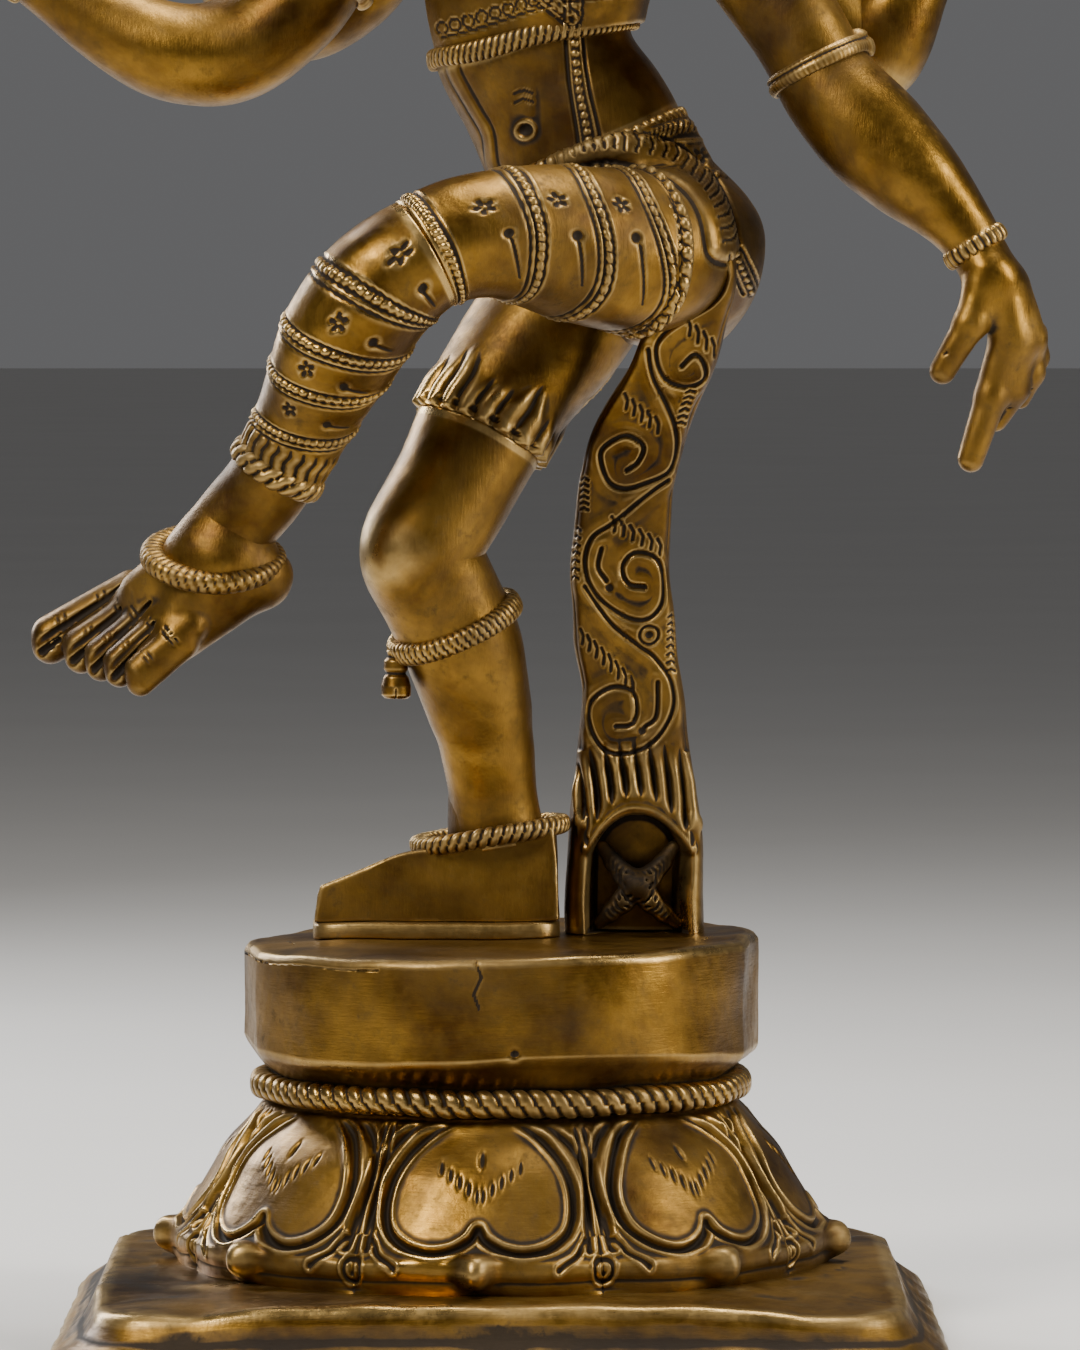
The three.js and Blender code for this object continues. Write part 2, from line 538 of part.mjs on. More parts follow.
const armNames = Object.keys(arms);
function chest() {
  const sizes = [[43, 31], [51, 34], [56, 37], [57, 36], [52, 30], [20, 18]];
  let solid = limb(place.ribs, place.neck, sizes, { startWidth: bandWidth.bellyBand,
      endWidth: bandWidth.necklace, steps: 6, reach: [36, 18] });
  armNames.forEach((name) => {
    const shoulder = arms[name].shoulder;
    const inside = vec(14, 0, shoulder.point.z).lerp(shoulder.point, 0.45);
    const stub = shoulder.point.clone().sub(inside).normalize();
    solid = solid.add(limb({ point: inside, normal: stub }, beyond(shoulder, 5), [16, radius.upperArm],
        { steps: 2 }));
  });
  solid = solid.subtract(socket(place.ribs, peg.waist, bandWidth.bellyBand)).add(spigot(place.neck,
      peg.neck, bandWidth.necklace));
  armNames.forEach((name) => {
    const { shoulder } = arms[name];
    solid = trimBeyond(solid, shoulder, 0, 24, 40).add(spigot(shoulder, peg.arm));
  });
  return solid;
}
const chestSolid = chest();
node('chest', chestSolid);

node('necklace', band(place.neck, radius.neck + 6, radius.neck + 4, bandWidth.necklace, peg.neck));

// ---- head ----
const headCentre = vec(12, -2, place.chin.point.z + headHeight * 0.5);
function headSolid() {
  const chin = headCentre.z - headHeight / 2;
  const sections = [[0, 9, 11], [0.12, 17, 18], [0.3, 24, 25], [0.5, radius.head, 31], [0.68, radius.head,
      32], [0.84, 23, 27], [0.96, 13, 15]];
  const skull = loft(sections.map(([share, a, b]) => oval(
    headCentre.clone().setZ(chin + share * headHeight), vec(0, 0, 1), figureRight, a, b, limbSides * 2)));
  const nose = loft([[0.36, 3, 4], [0.4, 4, 6], [0.56, 2, 2]].map(([share, a, b]) => oval(
    headCentre.clone().addScaledVector(figureFront, 28).setZ(chin + share * headHeight), vec(0, 0, 1),
        figureRight, a, b)));
  const throat = limb(place.neck, { point: headCentre.clone().setZ(chin + headHeight * 0.3),
      normal: vec(0, 0, 1) },
    [radius.neck, radius.neck - 1, radius.neck], { startWidth: bandWidth.necklace, steps: 4 });
  return skull.add(nose).add(throat).subtract(socket(place.neck, peg.neck, bandWidth.necklace));
}

const crownJoint = { point: headCentre.clone().setZ(headCentre.z + headHeight * 0.24), normal: vec(0, 0, 1) };
node('head', trimBeyond(headSolid(), crownJoint).add(spigot(crownJoint, peg.neck)));

function crownTiers() {
  const tiers = [[0, 1.04], [0.06, 1.14], [0.15, 1.12], [0.17, 0.98], [0.36, 0.94], [0.38, 1], [0.44, 1],
      [0.46, 0.82],
    [0.64, 0.72], [0.66, 0.78], [0.71, 0.78], [0.73, 0.56], [0.86, 0.4], [0.88, 0.46], [0.92, 0.4], [1,
        0.08]];
  const from = crownJoint.point.z + fitGap / 2;
  return loft(tiers.map(([share, wide]) => oval(
    crownJoint.point.clone().setZ(from + share * crown.height), vec(0, 0, 1), figureRight,
        crown.radius * wide,
    crown.radius * wide * mix(1.18, 1, Math.min(1, share * 3)), limbSides + 4)))
    .subtract(socket(crownJoint, peg.neck));
}
node('crown', crownTiers());

[['right', 1], ['left', -1]].forEach(([side, sign]) => {
  const lobe = headCentre.clone().addScaledVector(figureRight, sign * (radius.head + 4.5)).add(vec(0, 0, -6));
  const ringShape = new THREE.TorusGeometry(6, 2, 6, 14).rotateX(Math.PI / 2);
  ringShape.rotateZ(Math.atan2(figureFront.y, figureFront.x)).translate(lobe.x, lobe.y, lobe.z);
  node(`earring_${side}`,
      toSolid(ringShape).subtract(toSolid(figure.children.find((m) => m.name === 'head').geometry.clone())));
});

// ---- arms ----
function handSolid(arm) {
  const wristPoint = arm.wrist.point.clone().addScaledVector(arm.wrist.normal,
      bandWidth.bracelet / 2 + fitGap / 2);
  const across = arm.across.clone().normalize();
  const palmDirection = arm.palm.clone().normalize();
  const fingers = arm.fingers.clone().normalize();
  const thumb = arm.thumb.clone().normalize();
  const knuckle = wristPoint.clone().addScaledVector(palmDirection, 36);
  const rings = [oval(wristPoint, arm.wrist.normal, across, radius.wrist - 1, radius.wrist - 2)];
  [[12, 13, 8], [24, 16, 8.5], [36, 16, 7.5]].forEach(([distance, a, b]) => {
    rings.push(oval(wristPoint.clone().addScaledVector(palmDirection, distance), palmDirection, across, a,
        b));
  });
  [[12, 14.5, 6], [30, 11, 5], [40, 7, 3.5]].forEach(([distance, a, b]) => {
    rings.push(oval(knuckle.clone().addScaledVector(fingers, distance), fingers, across, a, b));
  });
  const thumbRoot = wristPoint.clone().addScaledVector(palmDirection, 14);
  const thumbRings = [[0, 6.5], [14, 6], [28, 5], [38, 3]].map(([distance, r]) => oval(
    thumbRoot.clone().addScaledVector(thumb, distance), thumb, arm.palm.clone().cross(thumb), r, r));
  return loft(rings).add(loft(thumbRings));
}

const snake = (name) => name.replace(/([A-Z])/g, '_$1').toLowerCase();
armNames.forEach((name) => {
  const arm = arms[name];
  const label = snake(name);
  node(`${label}_upper_arm`, limb(arm.shoulder, arm.armlet, [radius.upperArm, radius.upperArm + 1.5,
      radius.armlet],
    { endWidth: bandWidth.armlet, steps: 5 })
    .subtract(socket(arm.shoulder, peg.arm)).add(spigot(arm.armlet, peg.arm, bandWidth.armlet)));
  node(`${label}_armlet`, band(arm.armlet, radius.armlet, radius.armlet, bandWidth.armlet, peg.arm));
  node(`${label}_forearm`, limb(arm.armlet, arm.wrist,
    [radius.armlet, radius.elbow, radius.elbow, radius.wrist + 2, radius.wrist],
    { startWidth: bandWidth.armlet, endWidth: bandWidth.bracelet, steps: 7, reach: arm.reach })
    .subtract(socket(arm.armlet, peg.arm, bandWidth.armlet)).add(spigot(arm.wrist, peg.arm,
        bandWidth.bracelet)));
  node(`${label}_bracelet`, band(arm.wrist, radius.wrist, radius.wrist, bandWidth.bracelet, peg.arm));
  node(`${label}_hand`, handSolid(arm).subtract(socket(arm.wrist, peg.arm, bandWidth.bracelet)));
});

// The rear hands hold a flame bowl and an hourglass drum, each pinned on a peg above the fingertips.
function flameBowl(seat) {
  const bowl = turned([[0, 0], [7, 0], [14, 7], [16, 13], [0, 13]], 16);
  const tongue = (x, height, lean) => loft([[0, 6, 4], [0.35, 6.5, 4], [0.7, 4, 2.6], [1, 0.6,
      0.6]].map(([share, a, b]) => oval(
    vec(x + lean * share, 0, 12 + share * height), vec(0, 0, 1), vec(1, 0, 0), a, b, rodSides)));
  return bowl.add(tongue(-7, 24, -5)).add(tongue(0, 38, 0)).add(tongue(7, 24, 5)).translate(seat.x,
      seat.y, seat.z);
}

function handDrum(seat) {
  const half = 15;
  const outline = [[0, -half], [13, -half], [13, -half + 3], [5, -2], [5, 2], [13, half - 3], [13, half],
      [0, half]];
  return turned(outline, 16).rotate([0, 68, 0]).translate(seat.x, seat.y, seat.z);
}

function aboveHand(name, lift) {
  const { geometry } = figure.children.find((mesh) => mesh.name === name);
  geometry.computeBoundingBox();
  const box = geometry.boundingBox;
  return box.getCenter(vec(0, 0, 0)).setZ(box.max.z + lift);
}
node('flame', flameBowl(aboveHand('rear_left_hand', fitGap)));
node('hand_drum', handDrum(aboveHand('rear_right_hand', 15)));

export default model;
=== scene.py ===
import math
import bpy
import numpy as np
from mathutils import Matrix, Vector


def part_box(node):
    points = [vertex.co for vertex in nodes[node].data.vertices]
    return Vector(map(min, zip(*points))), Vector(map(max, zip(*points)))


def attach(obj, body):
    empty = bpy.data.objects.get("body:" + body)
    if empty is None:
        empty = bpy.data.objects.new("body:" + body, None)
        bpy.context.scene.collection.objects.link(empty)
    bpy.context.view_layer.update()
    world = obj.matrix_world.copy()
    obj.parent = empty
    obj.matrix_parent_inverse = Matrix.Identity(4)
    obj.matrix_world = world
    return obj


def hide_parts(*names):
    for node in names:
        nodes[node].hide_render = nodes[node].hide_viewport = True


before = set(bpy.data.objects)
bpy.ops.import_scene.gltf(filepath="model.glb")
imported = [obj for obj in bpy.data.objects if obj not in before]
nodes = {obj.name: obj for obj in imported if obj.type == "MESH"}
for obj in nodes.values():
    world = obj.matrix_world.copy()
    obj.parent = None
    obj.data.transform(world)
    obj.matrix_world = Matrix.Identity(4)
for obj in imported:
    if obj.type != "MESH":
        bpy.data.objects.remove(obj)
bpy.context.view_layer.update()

import openvdb
from mathutils import Vector

mm = 0.001


# places taken from the frame, in millimetres
def nodePoints(node):
    mesh = nodes[node].data
    flat = np.empty(len(mesh.vertices) * 3, np.float32)
    mesh.vertices.foreach_get("co", flat)
    return flat.reshape(-1, 3).astype(float) / mm


def vec(*values):
    return np.array(values, float)


def unit(vector):
    return vector / np.linalg.norm(vector)


def boxOf(node):
    low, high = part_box(node)
    return vec(*low) / mm, vec(*high) / mm


def planeOf(points, along):
    centre = points.mean(0)
    axes = np.linalg.svd(points - centre, full_matrices=False)[2]
    axis = axes[2] * (1 if axes[2] @ along > 0 else -1)
    return centre, axis, axes[0], axes[1]


def ringSeat(node, along):
    # centre, axis, and the ring's two half widths with their directions
    points = nodePoints(node)
    centre, axis, wide, narrow = planeOf(points, vec(*along))
    reach = points - centre
    return {"centre": centre, "axis": axis, "wide": wide, "narrow": narrow, "a": np.abs(reach @ wide).max(),
        "b": np.abs(reach @ narrow).max()}


def jointSeat(first, second, along, near=4.0):
    # where two castings face each other
    one, two = nodePoints(first), nodePoints(second)
    apart = np.linalg.norm(one[:, None] - two[None], axis=2)
    facing = np.vstack([one[apart.min(1) < near], two[apart.min(0) < near]])
    centre, axis, _, _ = planeOf(facing, vec(*along))
    return {"centre": centre, "axis": axis}


# curves
def smoothThrough(values, count):
    # a smooth curve through the values, evenly spread
    values = np.asarray(values, float)
    padded = np.concatenate([[2 * values[0] - values[1]], values, [2 * values[-1] - values[-2]]])
    spot = np.linspace(0, len(values) - 1, count)
    low = np.minimum(spot.astype(int), len(values) - 2)
    t = (spot - low).reshape((-1,) + (1,) * (values.ndim - 1))
    p0, p1, p2, p3 = (padded[low + k] for k in range(4))
    return 0.5 * (2 * p1 + (p2 - p0) * t + (2 * p0 - 5 * p1 + 4 * p2 - p3) * t ** 2
        + (3 * p1 - p0 - 3 * p2 + p3) * t ** 3)


def limbPath(start, end, reach=(0.36, 0.36), count=40):
    # a curve that leaves one joint along its axis and comes into the next along its axis
    p0, p3 = start["centre"], end["centre"]
    span = np.linalg.norm(p3 - p0)
    p1 = p0 + start["axis"] * span * reach[0]
    p2 = p3 - end["axis"] * span * reach[1]
    t = np.linspace(0, 1, count)[:, None]
    return p0 * (1 - t) ** 3 + 3 * p1 * t * (1 - t) ** 2 + 3 * p2 * t ** 2 * (1 - t) + p3 * t ** 3


def resample(points, step):
    lengths = np.concatenate([[0], np.cumsum(np.linalg.norm(np.diff(points, axis=0), axis=1))])
    count = max(4, int(lengths[-1] / step) + 1)
    even = np.linspace(0, lengths[-1], count)
    return np.stack([np.interp(even, lengths, points[:, k]) for k in range(points.shape[1])], 1), even


def squared(value, power):
    # a sine or cosine drawn out towards the corners of a squared oval
    return np.sign(value) * np.abs(value) ** (2 / power)


def smoothStep(value):
    value = np.clip(value, 0, 1)
    return value * value * (3 - 2 * value)


def lineDistance(x, y, route):
    # distance from each place to a route drawn on the surface
    best = np.full(x.shape, 1e3)
    for (ax, ay), (bx, by) in zip(route[:-1], route[1:]):
        dx, dy = bx - ax, by - ay
        t = np.clip(((x - ax) * dx + (y - ay) * dy) / (dx * dx + dy * dy + 1e-9), 0, 1)
        best = np.minimum(best, np.hypot(x - ax - t * dx, y - ay - t * dy))
    return best


# chased marks, as heights in millimetres
def ridge(distance, width):
    return np.exp(-(distance / width) ** 2)


def cutLine(distance, width, depth, lip=0.3):
    # a chisel cut with a raised burr beside it
    return -depth * ridge(distance, width) + depth * lip * ridge(distance - 2.1 * width, width * 0.8)


def cutRoute(x, y, route, width, depth, lip=0.3):
    return cutLine(lineDistance(x, y, route), width, depth, lip)


def beadsAt(x, y, spots, rise, size):
    # a round bead on each spot
    return sum(rise * np.sqrt(np.clip(1 - ((x - spot[0]) ** 2 + (y - spot[1]) ** 2) / size, 0, 1))
        for spot in spots)


def beadRow(along, turn, count, width, height):
    spot = np.mod(turn * count / (2 * math.pi), 1) - 0.5
    return height * np.sqrt(np.clip(1 - (along / (width / 2)) ** 2 - (spot / 0.5) ** 2, 0, None))


def flowerMark(x, y, size, depth, petals=5):
    radius, turn = np.hypot(x, y), np.arctan2(y, x)
    edge = size * (0.3 + 0.7 * np.abs(np.cos(petals * turn / 2)) ** 0.7)
    inside = 1 / (1 + np.exp((radius - edge) / (size * 0.09)))
    return -depth * inside * (1 - 0.8 * ridge(radius, size * 0.2))


def dotMark(x, y, size, depth):
    return -depth / (1 + np.exp((np.hypot(x, y) - size) / (size * 0.2)))


def stemMark(x, y, length, width, depth):
    # a narrow cut that starts under a dot and runs out
    beyond = np.maximum(np.maximum(-x, x - length), 0)
    taper = np.clip(1 - x / (length * 1.3), 0.25, 1)
    return -depth * taper * ridge(np.hypot(y, beyond), width)


# meshes
def neighbourMean(values, edges, share):
    total = np.stack([np.bincount(edges[:, 0], values[edges[:, 1], k], len(values))
        + np.bincount(edges[:, 1], values[edges[:, 0], k], len(values)) for k in range(values.shape[1])], 1)
    return total / share[:, None]


def markHollows(mesh, rounds, depth):
    # keeps how far each place lies under or over the smoothed surface, for the patina and the worn edges
    count = len(mesh.vertices)
    flat = np.empty(count * 3, np.float32)
    mesh.vertices.foreach_get("co", flat)
    points = flat.reshape(-1, 3).astype(float) / mm
    mesh.vertex_normals.foreach_get("vector", flat)
    normals = flat.reshape(-1, 3).astype(float)
    pairs = np.empty(len(mesh.edges) * 2, np.int32)
    mesh.edges.foreach_get("vertices", pairs)
    edges = pairs.reshape(-1, 2)
    share = np.maximum(np.bincount(edges.ravel(), minlength=count), 1)
    soft = points
    fine = None
    for k in range(rounds):
        soft = 0.35 * soft + 0.65 * neighbourMean(soft, edges, share)
        if k == rounds // 4:
            fine = soft
    under = ((soft - points) * normals).sum(1) / depth
    sharp = ((fine - points) * normals).sum(1) / (depth * 0.5)
    sunk = np.clip(0.5 + 0.5 * (0.6 * under + 0.4 * sharp), 0, 1)
    layer = mesh.attributes.new("sunk", "FLOAT", "POINT")
    layer.data.foreach_set("value", sunk.astype(np.float32))


handWork = {"broad": 0.34, "fine": 0.025, "broadWave": 34.0, "fineWave": 7.0, "waves": 7}


def unevenness(points):
    # the slight unevenness of a hand-finished casting, as shifts in millimetres
    dice = np.random.default_rng(7)
    shift = np.zeros(points.shape)
    for size, wave in ((handWork["broad"], handWork["broadWave"]), (handWork["fine"], handWork["fineWave"])):
        for _ in range(handWork["waves"]):
            direction = unit(dice.normal(size=3)) * 2 * math.pi / (wave * dice.uniform(0.7, 1.5))
            phase = dice.uniform(0, 6.28, 3)
            shift += size / math.sqrt(handWork["waves"]) * np.sin((points @ direction)[:, None] + phase)
    return shift


def makePiece(name, points, faces, node, finish, rounds, depth):
    # a mesh from millimetre points, riding on the one body and standing for its casting
    points = points + unevenness(points)
    mesh = bpy.data.meshes.new(name)
    mesh.from_pydata((points * mm).tolist(), [], faces)
    mesh.validate()
    mesh.polygons.foreach_set("use_smooth", np.ones(len(mesh.polygons), bool))
    mesh.update()
    markHollows(mesh, rounds, depth)
    piece = bpy.data.objects.new(name, mesh)
    bpy.context.scene.collection.objects.link(piece)
    material, slot = finish
    mesh.materials.append(material)
    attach(piece, "root")
    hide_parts(node)


def gridFaces(rows, columns, closedRows=False):
    index = np.arange(rows * columns).reshape(rows, columns)
    if closedRows:
        index = np.vstack([index, index[:1]])
    right = np.roll(index, -1, axis=1)
    quads = np.stack([index[:-1], right[:-1], right[1:], index[1:]], 2).reshape(-1, 4)
    return quads.tolist()


def closedSkin(grid):
    # the grid's faces, with a fan of triangles over each end
    rows, columns = grid.shape[:2]
    points = np.vstack([grid.reshape(-1, 3), grid[0].mean(0), grid[-1].mean(0)])
    faces, foot, last = gridFaces(rows, columns), rows * columns, (rows - 1) * columns
    for j in range(columns):
        k = (j + 1) % columns
        faces += [[foot, k, j], [foot + 1, last + j, last + k]]
    return points, faces


def surfaceNormals(grid, closedRows=False):
    across = np.roll(grid, -1, 1) - np.roll(grid, 1, 1)
    if closedRows:
        along = np.roll(grid, -1, 0) - np.roll(grid, 1, 0)
    else:
        along = np.gradient(grid, axis=0)
    normal = np.cross(across, along)
    return normal / np.maximum(np.linalg.norm(normal, axis=2, keepdims=True), 1e-9)


def skinLimb(path, sizes, reference, step=0.8, power=2.0, relief=None):
    # a closed skin round a path: sizes are half widths along and across the reference direction
    centres, along = resample(path, step)
    rows = len(centres)
    half = smoothThrough([s if isinstance(s, tuple) else (s, s) for s in sizes], rows)
    columns = max(24, int(2 * math.pi * half.max() / step))
    tangent = np.gradient(centres, axis=0)
    tangent /= np.linalg.norm(tangent, axis=1, keepdims=True)
    reference = vec(*reference)
    u = reference - tangent * (tangent @ reference)[:, None]
    u /= np.linalg.norm(u, axis=1, keepdims=True)
    w = np.cross(tangent, u)
    turn = np.linspace(-math.pi, math.pi, columns, endpoint=False)
    grid = (centres[:, None] + u[:, None] * (half[:, None, :1]
        * squared(np.cos(turn), power)[None, :, None])
        + w[:, None] * (half[:, None, 1:] * squared(np.sin(turn), power)[None, :, None]))
    if relief:
        place = {"s": np.repeat(along[:, None], columns, 1), "length": along[-1],
            "turn": np.repeat(turn[None], rows, 0), "p": grid,
            "r": np.repeat(half.mean(1)[:, None], columns, 1), "normal": surfaceNormals(grid)}
        grid = grid + place["normal"] * relief(place)[:, :, None]
    return closedSkin(grid)


def skinRing(seat, wide, narrow, thick, deep, relief=None, step=0.7):
    # a closed ring: wide and narrow are its half widths, thick its radial and deep its axial half size
    columns = int(2 * math.pi * max(wide, narrow) / step)
    rows = max(12, int(2 * math.pi * max(thick, deep) / step))
    turn = np.linspace(-math.pi, math.pi, columns, endpoint=False)[None]
    tube = np.linspace(0, 2 * math.pi, rows, endpoint=False)[:, None]
    out = (seat["wide"][None, None] * np.cos(turn)[..., None] * wide
        + seat["narrow"][None, None] * np.sin(turn)[..., None] * narrow)
    spoke = out / np.linalg.norm(out, axis=2, keepdims=True)
    grid = (seat["centre"] + out + spoke * (thick * squared(np.cos(tube), 2.5))[..., None]
        + seat["axis"] * (deep * squared(np.sin(tube), 2.5))[..., None])
    handed = np.cross(seat["wide"], seat["narrow"]) @ seat["axis"]
    if handed < 0:
        grid = grid[::-1]
        tube = tube[::-1]
    normal = surfaceNormals(grid, True)
    if relief:
        grid = grid + normal * (relief(turn + 0 * tube, tube + 0 * turn))[:, :, None]
    return grid.reshape(-1, 3), gridFaces(rows, columns, True)


def roped(count, depth=0.9):
    # slanting cuts round the tube, as on twisted wire
    return lambda turn, tube: -depth * (1 - np.abs(np.sin(turn * count / 2 + tube * 0.9))) ** 2.2


def beaded(count, depth=0.9):
    return lambda turn, tube: -depth * (1 - np.abs(np.sin(turn * count / 2))) ** 2.0


def knotted(seat):
    # a flat band with two grooves and a knot where it faces +X
    spot = math.atan2(seat["narrow"][0], seat["wide"][0])
    return lambda turn, tube: (2.6 * ridge(np.sin((turn - spot) / 2), 0.09)
        - 1.0 * ridge(np.sin(tube * 2 + 0.6), 0.28) - 0.25 * np.abs(np.sin(turn * 30)) * (np.cos(tube) > 0.5))


# freely modelled forms, from soft joined strokes
def roundCone(points, a, b, ra, rb, squash=None):
    if squash is not None:
        direction, factor = squash
        middle = (a + b) / 2
        points = points + direction * (((points - middle) @ direction) * (1 / factor - 1))[..., None]
    ab = b - a
    t = np.clip(((points - a) @ ab) / max(ab @ ab, 1e-9), 0, 1)
    return np.linalg.norm(points - a - t[..., None] * ab, axis=-1) - (ra + (rb - ra) * t)


def sculpt(strokes, voxel=0.7, margin=6.0):
    # strokes: (mode, start, end, start radius, end radius, blend, squash)
    ends = np.array([s[k] for s in strokes if s[0] == "add" for k in (1, 2)])
    flats = [s for s in strokes if s[0] == "flat"]
    strokes = [s for s in strokes if s[0] != "flat"]
    reach = max(max(s[3], s[4]) for s in strokes if s[0] == "add")
    low, high = ends.min(0) - reach - margin, ends.max(0) + reach + margin
    shape = np.ceil((high - low) / voxel).astype(int)
    field = np.full(shape, 12.0, np.float32)
    for mode, a, b, ra, rb, blend, squash in strokes:
        pad = max(ra, rb) + blend + 2.5
        i0 = np.clip(((np.minimum(a, b) - pad - low) / voxel).astype(int), 0, shape)
        i1 = np.clip(((np.maximum(a, b) + pad - low) / voxel).astype(int) + 1, 0, shape)
        if (i1 <= i0).any():
            continue
        axes = [low[k] + voxel * np.arange(i0[k], i1[k]) for k in range(3)]
        block = np.stack(np.meshgrid(*axes, indexing="ij"), -1)
        form = roundCone(block, a, b, ra, rb, squash)
        part = field[i0[0]:i1[0], i0[1]:i1[1], i0[2]:i1[2]]
        if mode == "add":
            h = np.clip(0.5 + 0.5 * (part - form) / blend, 0, 1)
            part[...] = part + (form - part) * h - blend * h * (1 - h)
        else:
            h = np.clip(0.5 - 0.5 * (part + form) / blend, 0, 1)
            part[...] = part + (-form - part) * h + blend * h * (1 - h)
    axes = [low[k] + voxel * np.arange(shape[k]) for k in range(3)]
    for _, point, normal, blend in flats:
        plane = (((axes[0] - point[0]) * normal[0])[:, None, None]
            + ((axes[1] - point[1]) * normal[1])[None, :, None]
            + ((axes[2] - point[2]) * normal[2])[None, None, :]).astype(np.float32)
        h = np.clip(0.5 - 0.5 * (field - plane) / blend, 0, 1)
        field = field + (plane - field) * h + blend * h * (1 - h)
    grid = openvdb.FloatGrid(12.0)
    grid.copyFromArray(field)
    points, triangles, quads = grid.convertToPolygons(isovalue=0.0, adaptivity=0.0)
    points = np.asarray(points, float) * voxel + low
    faces = np.asarray(quads).tolist()
    faces += np.asarray(triangles).tolist()
    return points, faces


def add(a, b, ra, rb, blend=2.0, squash=None):
    return ("add", a, b, ra, rb, blend, squash)


def flat(point, normal, blend=1.0):
    # keeps only what lies behind a plane
    return ("flat", point, unit(vec(*normal)), blend)


def cut(a, b, ra, rb, blend=0.8, squash=None):
    return ("cut", a, b, ra, rb, blend, squash)


# materials
class Wire:
    # wraps a socket so that shader maths reads as an expression

    def __init__(self, tree, socket):
        self.tree, self.socket = tree, socket

    def math(self, operation, one, two=None, clamp=False):
        node = self.tree.nodes.new("ShaderNodeMath")
        node.operation = operation
        node.use_clamp = clamp
        for spot, value in enumerate((one, two)):
            if isinstance(value, Wire):
                self.tree.links.new(value.socket, node.inputs[spot])
            elif value is not None:
                node.inputs[spot].default_value = value
        return Wire(self.tree, node.outputs[0])

    def __add__(self, other):
        return self.math("ADD", self, other)

    def __radd__(self, other):
        return self.math("ADD", other, self)

    def __sub__(self, other):
        return self.math("SUBTRACT", self, other)

    def __rsub__(self, other):
        return self.math("SUBTRACT", other, self)

    def __mul__(self, other):
        return self.math("MULTIPLY", self, other)

    def __rmul__(self, other):
        return self.math("MULTIPLY", other, self)

    def clamped(self):
        return self.math("ADD", self, 0.0, clamp=True)


class Finish:
    # one material and its nodes

    def __init__(self, name):
        self.material = bpy.data.materials.new(name)
        self.material.use_nodes = True
        self.tree = self.material.node_tree
        self.tree.nodes.clear()

    def node(self, kind, settings=None, inputs=None, output=0):
        made = self.tree.nodes.new("ShaderNode" + kind)
        for key, value in (settings or {}).items():
            if key == "stops":
                ramp = made.color_ramp
                while len(ramp.elements) < len(value):
                    ramp.elements.new(0.5)
                for element, (spot, shade) in zip(ramp.elements, value):
                    element.position = spot
                    element.color = (shade, shade, shade, 1) if isinstance(shade, float) else (*shade, 1)
            else:
                setattr(made, key, value)
        for key, value in (inputs or {}).items():
            if isinstance(value, Wire):
                self.tree.links.new(value.socket, made.inputs[key])
            else:
                made.inputs[key].default_value = value
        return Wire(self.tree, made.outputs[output]) if made.outputs else None

    def mixColour(self, mask, one, two):
        made = self.tree.nodes.new("ShaderNodeMix")
        made.data_type = "RGBA"
        for spot, value in ((0, mask), (6, one), (7, two)):
            if isinstance(value, Wire):
                self.tree.links.new(value.socket, made.inputs[spot])
            else:
                made.inputs[spot].default_value = value if spot == 0 else (*value, 1)
        return Wire(self.tree, made.outputs[2])

    def close(self, shader):
        self.node("OutputMaterial", inputs={"Surface": shader})
        return self.material


brassLook = {
    "metal": (0.29, 0.155, 0.025), "deepMetal": (0.08, 0.034, 0.0045), "greenMetal": (0.17, 0.112, 0.014),
    "worn": (0.58, 0.39, 0.14), "patina": (0.010, 0.0055, 0.002),
    "roughness": 0.19, "patinaRoughness": 0.6,
    "mottle": 22.0, "scratch": 260.0, "bump": 0.45,
}


